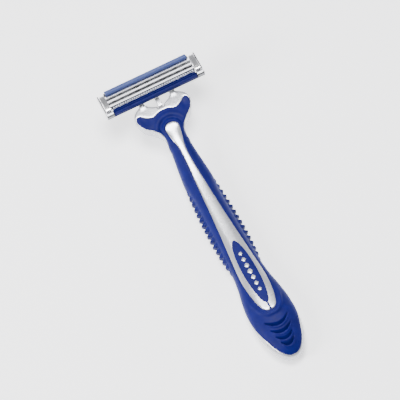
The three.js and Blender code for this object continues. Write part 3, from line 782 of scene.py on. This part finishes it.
# %% Relief of the rubber
FIN_COUNT = 16
FIN_FIRST_Y = 43.0
FIN_PITCH = 2.5
FIN_HALF_BASE = 1.15
FIN_LEAST = 0.35
FIN_MOST = 1.8
GROOVES = [(13.9, 16.6, 5.1), (10.7, 12.8, 4.4), (7.8, 9.7, 3.6), (5.2, 6.9, 2.8)]
GROOVE_HALF_WIDTH = 0.82
GROOVE_DEPTH = 1.25
LIP_HEIGHT = 0.28
FIN_FOOT_Z = (2.3, 2.9)       # the fins rise out of the flank between these heights
FIN_HEAD_Z = (5.2, 6.8)       # and sink back into it between these


def groove_relief(x, y):
    """Four crescents, each sloping down to a step at its lower side, with a raised lip below that."""
    depth = np.zeros_like(x)
    for middle_y, end_y, half_width in GROOVES:
        reach = np.clip(1 - (x / half_width) ** 2, 0, 1)
        centre = middle_y + (end_y - middle_y) * (x / half_width) ** 2
        half = GROOVE_HALF_WIDTH * np.sqrt(reach) + 1e-6
        across = (y - centre) / half
        slope, step = 1 - ease(across, -0.7, 1.15), ease(across, -1.15, -0.75)
        depth -= GROOVE_DEPTH * reach ** 0.3 * slope * step
        depth += LIP_HEIGHT * ease(reach, 0.05, 0.5) * hump(y - centre + half + 0.45, 0.42)
    return depth


def window_relief(y, gap):
    """A rim, a groove and an arch round the window's top, and a raised U below its bottom."""
    at_top = ease(y, 96, 103)
    rim = 0.12 * hump(gap - 0.5, 0.35) - 0.32 * hump(gap - 1.75, 0.6) + 0.2 * hump(gap - 3.3, 0.9)
    at_bottom = 1 - ease(y, 23, 29)
    ridge = 0.4 * hump(gap - 1.75, 0.6) - 0.12 * hump(gap - 0.7, 0.4)
    return at_top * rim + at_bottom * ridge


def ear_relief(x, y):
    """The ears are slightly dished."""
    return -0.4 * hump(np.hypot((x - 8.6) / 1.5, (y - 111.3) / 2.3), 1.0)


def fin_relief(y, z):
    """How far the flank stands out in fins, highest in the middle of the row."""
    index = np.clip(np.round((y - FIN_FIRST_Y) / FIN_PITCH), 0, FIN_COUNT - 1)
    away = np.clip(np.abs(y - FIN_FIRST_Y - index * FIN_PITCH) / FIN_HALF_BASE, 0, 1)
    height = FIN_LEAST + (FIN_MOST - FIN_LEAST) * np.sin(math.pi * index / (FIN_COUNT - 1)) ** 0.6
    tooth = 0.55 * (1 - away) + 0.45 * (1 - away ** 2)
    return height * tooth * ease(z, *FIN_FOOT_Z) * (1 - ease(z, *FIN_HEAD_Z))


# %% Rows of the grip
def grip_row(step):
    """Points (x, y, z) of one row and how far each is from the parting line."""
    y, bend = step
    inner_x = float(window_edge(np.array(y)))
    if y < FORK_START_Y:
        path, left = spaced_along(handle_row(y, inner_x, rubber_angle(y)))
        return np.column_stack([path[:, 0], np.full(len(path), y), path[:, 1]]), left
    outer_x = float(yoke_half_width(y)) - EAR_INSET
    outer_y = y
    for _ in range(12 if bend > 0 else 0):
        outer_y = BEND_START_Y + (float(rubber_front_edge(outer_x)) - BEND_START_Y) * bend
        outer_x = float(yoke_half_width(outer_y)) - EAR_INSET
    path, left = spaced_along(fork_row(outer_y, inner_x, outer_x))
    if y < FORK_END_Y:
        round_path, _ = spaced_along(handle_row(y, inner_x, rubber_angle(y)))
        share = float(ease(y, FORK_START_Y, FORK_END_Y))
        path = round_path * (1 - share) + path * share
    along = np.full(len(path), float(y))
    if bend > 0:
        along = BEND_START_Y + (rubber_front_edge(path[:, 0]) - BEND_START_Y) * bend
        path[:, 1] += yoke_top(along) - float(yoke_top(outer_y))
    return np.column_stack([path[:, 0], along, path[:, 1]]), left


def grip_steps():
    """Where the rows are: close together where there is fine relief."""
    tail = GRIP_START_Y + 0.01 + 2.0 * (1 - np.cos(np.linspace(0, math.pi / 2, 14)))
    stretches = [
        tail, np.arange(3.2, 20.0, 0.16), np.linspace(WINDOW_BOTTOM_Y - 0.1, WINDOW_BOTTOM_Y + 0.1, 2),
        np.arange(20.45, 42.2, 0.33), np.arange(42.2, 82.4, 0.19), np.arange(82.4, 99, 0.4),
        np.arange(99, 106.2, 0.22), 107.19 - 1.0 * (1 - np.linspace(0.02, 1, 9)) ** 2, [107.25],
        np.arange(107.5, 108.1, 0.2),
    ]
    ys = np.unique(np.round(np.concatenate(stretches), 4))
    bends = np.linspace(0, 1, 30)
    bends = 1 - (1 - bends) ** 1.3
    return [(y, 0.0) for y in ys] + [(BEND_START_Y, bend) for bend in bends]


# %% Build the grip
FIN_ROW_START_Y = 40.6
FIN_ROW_END_Y = 83.4
WINDOW_EDGE_RADIUS = 0.32
EDGE_RADIUS = 0.3
FRONT_EDGE_RADIUS = 0.4


def edge_drop(distance, radius):
    """How far a rounded edge falls away at a distance from it."""
    inside = np.clip(radius - distance, 0, radius)
    return radius - np.sqrt(radius ** 2 - inside ** 2)


def row_normals(row):
    """Outward directions across the handle, in the plane of the row."""
    along = np.gradient(row[:, [0, 2]], axis=0)
    along /= np.maximum(np.hypot(along[:, 0], along[:, 1]), 1e-9)[:, None]
    return np.column_stack([-along[:, 1], np.zeros(len(row)), along[:, 0]])


def build_grip():
    """The right half of the skin: its outer face, its edges and its inner face, row by row."""
    steps = grip_steps()
    points, faces, seams = [], [], []
    under = list(range(0, ROW_POINTS, UNDER_STEP))
    if under[-1] != ROW_POINTS - 1:
        under.append(ROW_POINTS - 1)
    ring = ROW_POINTS + len(under)
    for y, bend in steps:
        row, left = grip_row((y, bend))
        on_seam = row[0, 0] < 1e-6
        normals = row_normals(row)
        if on_seam:
            normals[0] = (0, 0, 1)
        gap = distance_to_window(row[:, 0], row[:, 1])
        push = window_relief(row[:, 1], gap)
        push += groove_relief(row[:, 0], row[:, 1]) if y < 20 else 0
        push += ear_relief(row[:, 0], row[:, 1]) if y > 100 else 0
        push -= edge_drop(gap, WINDOW_EDGE_RADIUS)
        push -= edge_drop(left, EDGE_RADIUS)
        push -= edge_drop(np.maximum(0, y - GRIP_START_Y), EDGE_RADIUS)
        if y > 108:
            slope = np.gradient(rubber_front_edge(row[:, 0]), row[:, 0] + np.arange(ROW_POINTS) * 1e-9)
            ahead = (rubber_front_edge(row[:, 0]) - row[:, 1]) / np.sqrt(1 + slope ** 2)
            push -= edge_drop(np.maximum(ahead, 0), FRONT_EDGE_RADIUS)
        top = row + normals * push[:, None]
        if FIN_ROW_START_Y < y < FIN_ROW_END_Y:
            top[:, 0] += fin_relief(row[:, 1], row[:, 2])
        inner = (row - normals * GRIP_THICKNESS)[under[::-1]]
        if on_seam:
            top[0, 0] = 0
            inner[-1, 0] = 0
        seams.append(on_seam)
        points.append(np.concatenate([top, inner]))
    for i in range(len(steps) - 1):
        for j in range(ring):
            k = (j + 1) % ring
            if j == ring - 1 and seams[i] and seams[i + 1]:
                continue
            faces.append((i * ring + j, i * ring + k, (i + 1) * ring + k, (i + 1) * ring + j))
    last = (len(steps) - 1) * ring
    faces += [tuple(range(ring)), tuple(range(last, last + ring))]
    return np.concatenate(points), faces


new_piece("grip_overmould_skin", put_together(mirrored_pairs(build_grip)), on_handle,
          "handle", ["grip_overmould"], blue_rubber)

# %% [markdown]
# ## Oval inset
#
# The oval lies in the window, fed with rubber through a thin stem. The real one carries lettering.
# Here it has a plain row of raised lozenges instead, largest in the middle, in the silver of the core.

# %% Oval inset
OVAL_TOP_Y = 52.5
OVAL_MIDDLE_Y = 38.5
OVAL_BOTTOM_Y = 23.4
OVAL_HALF_WIDTH = 2.95
STEM_HALF_WIDTH = 0.37
STEM_END_Y = 26
INSET_SINK = 0.12        # the inset's top lies this far below the handle's drawn front
INSET_DEPTH = 1.3


def front_surface(x, y):
    """Height of the handle's front at a plan point."""
    width, front, _, middle = section(y)
    share = np.clip(np.abs(x) / width, 0, 1)
    return middle + (front - middle) * (1 - share ** SECTION_POWER) ** (1 / SECTION_POWER)


def inset_half_width(y):
    """Half width of the inset: an egg, and the stem below it."""
    end = np.where(y > OVAL_MIDDLE_Y, OVAL_TOP_Y, OVAL_BOTTOM_Y)
    oval = OVAL_HALF_WIDTH * np.sqrt(np.clip(1 - ((y - OVAL_MIDDLE_Y) / (end - OVAL_MIDDLE_Y)) ** 2, 0, 1))
    return np.where(y < STEM_END_Y, np.maximum(oval, STEM_HALF_WIDTH), oval)


def build_inset():
    """Rows across the oval: a rounded top with sides that reach down into the pocket."""
    turn = np.linspace(0, math.pi, 60)
    reach = np.where(turn < math.pi / 2, OVAL_MIDDLE_Y - OVAL_BOTTOM_Y, OVAL_TOP_Y - OVAL_MIDDLE_Y)
    ys = np.concatenate([np.linspace(WINDOW_BOTTOM_Y - 0.3, OVAL_BOTTOM_Y - 0.1, 12),
                         (OVAL_MIDDLE_Y - np.cos(turn) * reach)[1:-1], [OVAL_TOP_Y - 0.01]])
    shares = np.sin(np.linspace(-math.pi / 2, math.pi / 2, 41))
    rows = []
    for y in ys:
        half = float(inset_half_width(np.array(y)))
        x = half * shares
        from_edge = np.minimum(half - np.abs(x), max(OVAL_TOP_Y - y, 0))
        top = front_surface(x, np.full_like(x, y)) - INSET_SINK - edge_drop(from_edge, EDGE_RADIUS)
        low = np.full(2, front_surface(0.0, y) - INSET_DEPTH)
        profile = np.concatenate([
            np.column_stack([x, np.full_like(x, y), top]),
            np.column_stack([x[[-1, 0]], np.full(2, y), low])])
        rows.append(profile)
    return np.concatenate(rows), capped(len(rows), len(rows[0]))


new_piece("oval_inset_skin", build_inset(), on_handle, "handle", ["oval_inset"], blue_rubber)

# %% Raised lozenges
LOZENGE_COUNT = 7
LOZENGE_PITCH = 2.75
LOZENGE_ROW_Y = OVAL_MIDDLE_Y - 0.6
LOZENGE_HALF_WIDTH = 1.0
LOZENGE_HALF_LENGTH = 1.15


def lozenge(index):
    """A low four-sided cushion on the oval, pointing along the handle."""
    offset = index - (LOZENGE_COUNT - 1) / 2
    y = LOZENGE_ROW_Y + offset * LOZENGE_PITCH
    size = 1 - 0.09 * abs(offset)
    rings = [(1.0, -0.35), (1.0, 0.1), (0.93, 0.19), (0.8, 0.24), (0.4, 0.27)]
    angles = np.linspace(0, 2 * math.pi, 32, endpoint=False)
    points = []
    for scale, lift in rings:
        across = LOZENGE_HALF_WIDTH * size * scale * np.sign(np.cos(angles)) * np.abs(np.cos(angles)) ** 1.5
        along = LOZENGE_HALF_LENGTH * size * scale * np.sign(np.sin(angles)) * np.abs(np.sin(angles)) ** 1.5
        height = front_surface(across, y + along) - INSET_SINK + lift
        points += list(zip(across, y + along, height))
    return points, capped(len(rings), len(angles))


new_piece("oval_pattern", put_together([lozenge(i) for i in range(LOZENGE_COUNT)]), on_handle,
          "handle", [], silver_abs)

# %% [markdown]
# ## Rear pad
#
# The back of the handle has a long soft pad with cross ribs for the fingers, set in a pocket so that
# the razor still lies on its flat spine.

# %% Rear pad
PAD_HALF_WIDTH = 2.3
PAD_LOW_Y = 26
PAD_HIGH_Y = 74
PAD_RECESS = 0.15
PAD_RIB_PITCH = 2.4
PAD_VALLEY_DEPTH = 0.45
PAD_DEPTH = 1.3


def pad_half_width(y):
    """Half width of the pad: a slot with round ends."""
    low = np.clip(PAD_LOW_Y + PAD_HALF_WIDTH - y, 0, PAD_HALF_WIDTH)
    high = np.clip(y - PAD_HIGH_Y + PAD_HALF_WIDTH, 0, PAD_HALF_WIDTH)
    return np.sqrt(np.maximum(PAD_HALF_WIDTH ** 2 - (low + high) ** 2, 1e-6))


def build_pad():
    """Rows across the pad: a ribbed face with a rounded edge, and sides that reach into the pocket."""
    ends = PAD_HALF_WIDTH * (1 - np.cos(np.linspace(0.05, math.pi / 2, 14)))
    ys = np.concatenate([PAD_LOW_Y + ends, np.arange(28.5, 71.6, 0.2), (PAD_HIGH_Y - ends)[::-1]])
    shares = np.sin(np.linspace(-math.pi / 2, math.pi / 2, 25))
    rows = []
    for y in ys:
        half = float(pad_half_width(y))
        x = half * shares
        wave = 0.5 - 0.5 * math.cos(2 * math.pi * (y - PAD_LOW_Y) / PAD_RIB_PITCH)
        inside = ease(half - np.abs(x), 0.35, 0.8) * float(ease(min(y - PAD_LOW_Y, PAD_HIGH_Y - y), 1, 3))
        face = PAD_RECESS + PAD_VALLEY_DEPTH * wave ** 2 * inside + edge_drop(half - np.abs(x), 0.25)
        rows.append(np.concatenate([
            np.column_stack([x, np.full_like(x, y), face]), [[half, y, PAD_DEPTH], [-half, y, PAD_DEPTH]]]))
    return np.concatenate(rows), capped(len(rows), len(rows[0]))


cut(core, loose_object("pad pocket", box((-2.5, 28.3, -1), (2.5, 71.7, PAD_DEPTH)), on_handle))
shade(core, True)
new_piece("rear_pad_skin", build_pad(), on_handle, "handle", ["rear_pad"], blue_rubber)

# %% [markdown]
# ## Return tongue
#
# A thin leaf rooted in the fork. Its tip rests against a rib on the back of the head and pushes the
# head back to rest. It is the same silver plastic, so a bevelled bar is enough.

# %% Return tongue
TONGUE_HALF_WIDTH = 0.92
TONGUE_ROOT_Y = 115.7
TONGUE_TIP_Y = 123.8
tongue_top = pivot_z + 0.3
tongue_side = [
    (TONGUE_ROOT_Y - 0.8, tongue_top - 2.2), (TONGUE_ROOT_Y + 1.2, tongue_top - 1.8),
    (TONGUE_TIP_Y - 0.3, tongue_top - 1.1), (TONGUE_TIP_Y, tongue_top - 0.6),
    (TONGUE_TIP_Y - 0.2, tongue_top), (TONGUE_ROOT_Y + 1, tongue_top),
    (TONGUE_ROOT_Y - 0.8, tongue_top - 0.3),
]
tongue = new_piece("return_tongue_leaf", bar(tongue_side, -TONGUE_HALF_WIDTH, TONGUE_HALF_WIDTH), on_handle,
                   "tongue", ["return_tongue"], silver_abs)
rounded(tongue, 0.2)

# %% [markdown]
# ## Head frame
#
# The frame is one silver moulding: two end caps, a bar under the lubricating strip, a bar under the
# guard, cross ribs behind the blades with room to rinse between them, and two ears for the pivot. It
# is put together from prisms across the head, and all its edges are then softened by 0.12 mm. Its
# colour is set much darker than its silver, as painted shade round the clips and under the blades.

# %% Head frame
HEAD_HALF_WIDTH = 21.0
PANEL_HALF_WIDTH = 18.05
HEAD_FLOOR = -2.9
RIB_TOP = -2.45
RIB_HALF_WIDTH = 0.8
RIB_PLACES = (-15.5, -12, -8.8, -5, 0, 5, 8.8, 12, 15.5)
END_WALL_INNER_X = 20.55
CORNER_OUTER_X = 20.7
EAR_REACH = 2.0
EAR_INNER_X = 8.0
EAR_OUTER_X = 9.6
JOURNAL_HOLE_RADIUS = 1.2


def end_cap():
    """The outer end wall, the bridge at the cap side and the corner at the guard side."""
    wall = [(-4.6, HEAD_FLOOR), (-4.95, -2.5), (-4.95, -1.0), (-4.6, -0.45), (-3.9, -0.12), (-2.8, 0.1),
            (3.9, 0.2), (5.2, 0.05), (5.6, -0.35), (5.6, -2.6), (5.3, HEAD_FLOOR)]
    corner = [(-4.6, HEAD_FLOOR), (-4.95, -2.5), (-4.95, -1.0), (-4.6, -0.45), (-3.75, -0.15), (-3.6, -0.4),
              (-3.6, -1.15), (-2.85, -1.2), (-2.85, HEAD_FLOOR)]
    bridge = [(4.85, HEAD_FLOOR), (4.85, -0.05), (5.2, 0.0), (5.6, -0.4), (5.6, -2.6), (5.3, HEAD_FLOOR)]
    return put_together([
        bar(wall, END_WALL_INNER_X, HEAD_HALF_WIDTH),
        bar(corner, PANEL_HALF_WIDTH, CORNER_OUTER_X),
        bar(bridge, PANEL_HALF_WIDTH, CORNER_OUTER_X),
    ])


def ear():
    """An ear with a round hole, and the floor rib that carries it."""
    outline = [(PIVOT_T - EAR_REACH, HEAD_FLOOR + 0.3), (PIVOT_T - EAR_REACH, PIVOT_N - 0.6)]
    outline += circle((PIVOT_T, PIVOT_N), EAR_REACH, 14, math.radians(200), math.radians(340))
    outline += [(PIVOT_T + EAR_REACH, PIVOT_N - 0.6), (PIVOT_T + 2.8, HEAD_FLOOR + 0.3)]
    return bar(outline, EAR_INNER_X, EAR_OUTER_X)


panel_end = PANEL_HALF_WIDTH + 0.1
cap_side = [(4.15, HEAD_FLOOR), (4.15, -1.2), (6.1, -1.2), (6.3, -1.5), (6.0, -2.5), (5.6, HEAD_FLOOR)]
guard_side = [(-4.7, HEAD_FLOOR), (-4.9, -2.3), (-2.05, -2.3), (-2.05, HEAD_FLOOR)]
ribs = [
    box((x - RIB_HALF_WIDTH, -2.2, HEAD_FLOOR), (x + RIB_HALF_WIDTH, 4.4, RIB_TOP)) for x in RIB_PLACES
]
cam = box((-0.8, PIVOT_T + 1.9, PIVOT_N + 0.62), (0.8, PIVOT_T + 2.7, HEAD_FLOOR + 0.2))
housing = new_piece("cartridge_housing_skin", put_together([
    *mirrored_pairs(end_cap), *mirrored_pairs(ear), bar(cap_side, -panel_end, panel_end),
    bar(guard_side, -panel_end, panel_end), *ribs, cam,
]), on_head, "cartridge", ["cartridge_housing"], frame_plastic_painted_shade)
for left, right in ((7.5, 10), (-10, -7.5)):
    hole = round_bar(left, right, PIVOT_T, PIVOT_N, JOURNAL_HOLE_RADIUS)
    cut(housing, loose_object("pivot hole", hole, on_head))
dress(housing, "cartridge", [], frame_plastic_painted_shade)
rounded(housing, 0.12)

# %% [markdown]
# ## Retention clips
#
# Each end of the blades is held by a bent aluminium strap. It runs over the face and down through the
# frame. The strap is slightly bowed, which is why it shades from grey to white.

# %% Clips
CLIP_INNER_X = 18.35
CLIP_OUTER_X = 20.3
CLIP_LOW_T = -2.5
CLIP_HIGH_T = 4.5
CLIP_UNDERSIDE = 0.22
CLIP_THICKNESS = 0.3
CLIP_BOW = 0.28


def clip_strap():
    """The strap's side view: a bowed top and two legs with feet turned in under the frame."""
    ts = np.linspace(CLIP_LOW_T + 0.25, CLIP_HIGH_T - 0.25, 14)
    bow = CLIP_BOW * (1 - ((ts - 1.0) / 3.25) ** 2)
    top = [(t, CLIP_UNDERSIDE + CLIP_THICKNESS - 0.15 + b) for t, b in zip(ts, bow)]
    underside = [(t, CLIP_UNDERSIDE + max(b - 0.15, 0)) for t, b in zip(ts[::-1], bow[::-1])]
    foot = HEAD_FLOOR - 0.25
    return [
        (CLIP_LOW_T, foot), (CLIP_LOW_T, 0.3), *top, (CLIP_HIGH_T, 0.3), (CLIP_HIGH_T, foot),
        (3.7, foot - 0.3), (3.7, foot), (CLIP_HIGH_T - CLIP_THICKNESS, foot + 0.2),
        (CLIP_HIGH_T - CLIP_THICKNESS, CLIP_UNDERSIDE - 0.05), *underside,
        (CLIP_LOW_T + CLIP_THICKNESS, CLIP_UNDERSIDE - 0.05), (CLIP_LOW_T + CLIP_THICKNESS, foot + 0.2),
        (-1.7, foot), (-1.7, foot - 0.3),
    ]


for side, name in ((1, "right"), (-1, "left")):
    left, right = sorted((side * CLIP_INNER_X, side * CLIP_OUTER_X))
    clip = new_piece(f"retention_clip_{name}_strap", bar(clip_strap(), left, right), on_head,
                     "cartridge", [f"retention_clip_{name}"], clip_aluminium)
    rounded(clip, 0.07, angle=40)

# %% [markdown]
# ## Lubricating strip, guard and fins
#
# The strip is a rounded bar along the cap. The guard is a navy rubber bar that stretches the skin
# before the blades, with two shallow channels and a lower side that slopes back. Between guard and
# blades stands a row of fine soft fins, 1 mm apart.

# %% Strip and guard
STRIP_HALF_LENGTH = 17.6
GUARD_HALF_LENGTH = 17.75
GUARD_CHANNELS = (-3.3, -3.9)
CHANNEL_DEPTH = 0.4
CHANNEL_WIDTH = 0.2


def arc_points(centre, radii, start_deg, end_deg, count):
    """Points on part of an ellipse."""
    angles = np.radians(np.linspace(start_deg, end_deg, count))
    return [(centre[0] + radii[0] * math.cos(a), centre[1] + radii[1] * math.sin(a)) for a in angles]


strip_outline = [(6.3, -0.9), *arc_points((5.3, -0.35), (1.0, 0.85), 0, 180, 24), (4.3, -0.9)]
strip = new_piece("lubricating_strip_bar", bar(strip_outline, -STRIP_HALF_LENGTH, STRIP_HALF_LENGTH), on_head,
                  "cartridge", ["lubricating_strip"], strip_gum)
rounded(strip, 0.15)


def guard_outline():
    """Sloping top with two channels, rounded front edge, lower side."""
    top = []
    for t in np.linspace(-2.85, -4.35, 46):
        height = -0.1 - 0.27 * (-2.85 - t)
        channels = sum(CHANNEL_DEPTH * hump(t - centre, CHANNEL_WIDTH) for centre in GUARD_CHANNELS)
        top.append((t, height - channels))
    nose = arc_points((-4.35, -1.0), (0.65, 0.5), 90, 185, 9)[1:]
    return [(-2.85, -2.0), *top, *nose, (-5.0, -2.0)]


guard = new_piece("guard_strip_bar", bar(guard_outline(), -GUARD_HALF_LENGTH, GUARD_HALF_LENGTH), on_head,
                  "cartridge", ["guard_strip"], navy_rubber)
rounded(guard, 0.12, angle=50)

# %% Fine fins
MICROFIN_PITCH = 1.0
MICROFIN_COUNT = 35
MICROFIN_HALF = 0.28
MICROFIN_LEAN = 0.12
FIN_ROW_LOW_T = -2.5
FIN_ROW_HIGH_T = -1.95
FIN_ROW_MIDDLE_T = (FIN_ROW_LOW_T + FIN_ROW_HIGH_T) / 2


def microfin(index):
    """One thin fin, a little slanted, standing on the fin strip's base, with a narrower top."""
    x = (index - (MICROFIN_COUNT - 1) / 2) * MICROFIN_PITCH
    foot = [
        (x - MICROFIN_HALF - MICROFIN_LEAN, FIN_ROW_LOW_T),
        (x + MICROFIN_HALF - MICROFIN_LEAN, FIN_ROW_LOW_T),
        (x + MICROFIN_HALF + MICROFIN_LEAN, FIN_ROW_HIGH_T),
        (x - MICROFIN_HALF + MICROFIN_LEAN, FIN_ROW_HIGH_T),
    ]
    points = [
        (x + (px - x) * squeeze, FIN_ROW_MIDDLE_T + (t - FIN_ROW_MIDDLE_T) * (0.7 + 0.3 * squeeze), n)
        for n, squeeze in ((-1.6, 1.0), (-0.05, 1.0), (0.02, 0.6))
        for px, t in foot
    ]
    return points, capped(3, 4)


fin_base = box((-GUARD_HALF_LENGTH, FIN_ROW_LOW_T, -2.0), (GUARD_HALF_LENGTH, FIN_ROW_HIGH_T, -1.5))
fins = new_piece("microfin_row", put_together([fin_base, *(microfin(i) for i in range(MICROFIN_COUNT))]),
                 on_head, "cartridge", ["microfin_strip"], pale_rubber)
shade(fins, False)

# %% [markdown]
# ## Blades
#
# Each blade is a ground steel strip welded to a bent carrier, and floats on its own. The strip's edge
# has two facets.

# %% Blades and carriers
BLADE_EDGES = [2.64, 0.57, -1.5]
BLADE_ANGLE = math.radians(21)
BLADE_WIDTH = 1.45
BLADE_THICKNESS = 0.22
BLADE_EDGE_N = 0.05
BLADE_HALF_LENGTH = 19.3
SUPPORT_HALF_LENGTH = 18.3
SUPPORT_FOOT_N = -2.0
SUPPORT_THICKNESS = 0.28
SUPPORT_LEG = 0.36
SUPPORT_TOE = 0.5
TOE_THICKNESS = 0.22
SUPPORT_START = 0.62     # where the carrier begins behind the edge


def on_blade(edge, distance, depth):
    """A point at a distance behind the edge and a depth below the blade's top."""
    return (edge + math.cos(BLADE_ANGLE) * distance - math.sin(BLADE_ANGLE) * depth,
            BLADE_EDGE_N - math.sin(BLADE_ANGLE) * distance - math.cos(BLADE_ANGLE) * depth)


def blade_strip(edge):
    """The ground strip, with a two-step bevel at its edge."""
    outline = [(0, 0.05), (0.18, 0.012), (0.42, 0.0), (BLADE_WIDTH, 0), (BLADE_WIDTH, BLADE_THICKNESS),
               (0.45, BLADE_THICKNESS), (0.06, 0.09)]
    return bar([on_blade(edge, *point) for point in outline], -BLADE_HALF_LENGTH, BLADE_HALF_LENGTH)


def carrier(edge):
    """The bent bar under a blade: a shelf along it, a leg down from its front, and a foot turned in."""
    top = BLADE_THICKNESS + 0.02
    bottom = top + SUPPORT_THICKNESS
    leg_front = on_blade(edge, SUPPORT_START, bottom)[0]
    return bar([
        (leg_front, SUPPORT_FOOT_N + TOE_THICKNESS),
        (leg_front - SUPPORT_TOE, SUPPORT_FOOT_N + TOE_THICKNESS),
        (leg_front - SUPPORT_TOE, SUPPORT_FOOT_N), (leg_front + SUPPORT_LEG, SUPPORT_FOOT_N),
        (leg_front + SUPPORT_LEG, on_blade(edge, 0.95, bottom)[1]), on_blade(edge, BLADE_WIDTH - 0.1, bottom),
        on_blade(edge, BLADE_WIDTH - 0.1, top), on_blade(edge, SUPPORT_START, top),
    ], -SUPPORT_HALF_LENGTH, SUPPORT_HALF_LENGTH)


for number, edge in enumerate(BLADE_EDGES, start=1):
    blade = new_piece(f"blade_edge_{number}_strip", blade_strip(edge), on_head, f"blade_{number}",
                      [f"blade_edge_{number}"], blade_steel)
    shade(blade, False)
    support = new_piece(f"blade_support_{number}_bar", carrier(edge), on_head, f"blade_{number}",
                        [f"blade_support_{number}"], carrier_steel_painted_shade)
    rounded(support, 0.05, segments=2)

# %% [markdown]
# ## Floor, light and camera
#
# The floor is a lit white table, as for product pictures: pale, even, and glowing a little so that no
# hard shadow forms. A soft box hangs overhead and a larger one stands on the left. The surround is
# bright low down beyond the head, where the tilted blades mirror it, and dim elsewhere, which keeps
# the blue deep.

# %% Floor
def light_table():
    """White acrylic sheet, lit from below."""
    made, tree, shader, place = start_material(
        "light table, opal acrylic", IOR=1.45, Roughness=0.8, Emission_Strength=0.95,
    )
    shader.inputs["Base Color"].default_value = linear("#f2f2f3")
    shader.inputs["Emission Color"].default_value = linear("#fdfdff")
    return made


floor_points, floor_faces = box((-900, -900, -6), (900, 900, -0.05))
floor_mesh = bpy.data.meshes.new("floor")
floor_mesh.from_pydata([tuple(p) for p in np.array(floor_points) * MM], [], floor_faces)
floor = bpy.data.objects.new("floor", floor_mesh)
bpy.context.scene.collection.objects.link(floor)
floor.data.materials.append(light_table())

# %% Light
def soft_box(name, place, target, width, height, power):
    """An area light that faces a target."""
    lamp = bpy.data.lights.new(name, "AREA")
    lamp.shape = "RECTANGLE"
    lamp.size = width
    lamp.size_y = height
    lamp.energy = power
    made = bpy.data.objects.new(name, lamp)
    made.location = place
    made.rotation_euler = (Vector(target) - Vector(place)).to_track_quat("-Z", "Y").to_euler()
    bpy.context.scene.collection.objects.link(made)
    return made


middle = Vector((0, 0, 0.01))
soft_box("overhead box", (0.02, 0.06, 0.8), middle, width=0.34, height=0.34, power=11)
soft_box("left box", (-0.65, -0.05, 0.42), middle, width=0.3, height=0.5, power=8)
soft_box("right fill", (0.8, -0.1, 0.35), middle, width=0.3, height=0.6, power=0.5)

SURROUND = 0.45
HORIZON_GLOW = 5.0
world = bpy.data.worlds.new("studio surround")
bpy.context.scene.world = world
world.use_nodes = True
surround = world.node_tree
direction = add(surround, "ShaderNodeTexCoord").outputs["Generated"]
parts = add(surround, "ShaderNodeSeparateXYZ", {"Vector": direction})
low_down = add(surround, "ShaderNodeMapRange", {
    "Value": parts.outputs["Z"], "From Min": 0.15, "From Max": 0.6, "To Min": 1.0, "To Max": 0.0,
}, interpolation_type="SMOOTHSTEP").outputs["Result"]
beyond_head = add(surround, "ShaderNodeMapRange", {
    "Value": parts.outputs["Y"], "From Min": 0.3, "From Max": 0.8, "To Min": 0.0, "To Max": HORIZON_GLOW,
}, interpolation_type="SMOOTHSTEP").outputs["Result"]
glow = add(surround, "ShaderNodeMath", {0: low_down, 1: beyond_head}, operation="MULTIPLY").outputs[0]
strength = add(surround, "ShaderNodeMath", {0: glow, 1: SURROUND}, operation="ADD").outputs[0]
background = surround.nodes["Background"]
background.inputs["Color"].default_value = linear("#fafbff")
surround.links.new(strength, background.inputs["Strength"])

# %% [markdown]
# The camera has a long lens, looks down at the razor from the tail's side, a little from the left, and
# is rolled so that the head is at the upper left.

# %% Camera
CAMERA_AZIMUTH = math.radians(-16.5)
CAMERA_ELEVATION = math.radians(63.7)
CAMERA_ROLL = math.radians(-10.7)
CAMERA_DISTANCE = 1.0
LENS_MM = 234.9
HANDLE_MIDDLE = Vector((0, 0, 9)) * MM
AIM_RIGHT = -7.32 * MM
AIM_UP = 6.05 * MM

away = Vector((
    math.sin(CAMERA_AZIMUTH) * math.cos(CAMERA_ELEVATION),
    -math.cos(CAMERA_AZIMUTH) * math.cos(CAMERA_ELEVATION),
    math.sin(CAMERA_ELEVATION),
))
level = Vector((0, 0, 1)).cross(away).normalized()
upward = away.cross(level)
right = level * math.cos(CAMERA_ROLL) + upward * math.sin(CAMERA_ROLL)
up = upward * math.cos(CAMERA_ROLL) - level * math.sin(CAMERA_ROLL)
camera_data = bpy.data.cameras.new("camera")
camera_data.sensor_width = 36
camera_data.lens = LENS_MM
camera = bpy.data.objects.new("camera", camera_data)
turn = Matrix((right, up, away)).transposed().to_4x4()
aim = HANDLE_MIDDLE + right * AIM_RIGHT + up * AIM_UP
camera.matrix_world = Matrix.Translation(aim + away * CAMERA_DISTANCE) @ turn
bpy.context.scene.collection.objects.link(camera)
bpy.context.scene.camera = camera
print("lens", camera_data.lens, "mm, aimed at", [round(value / MM, 1) for value in aim])
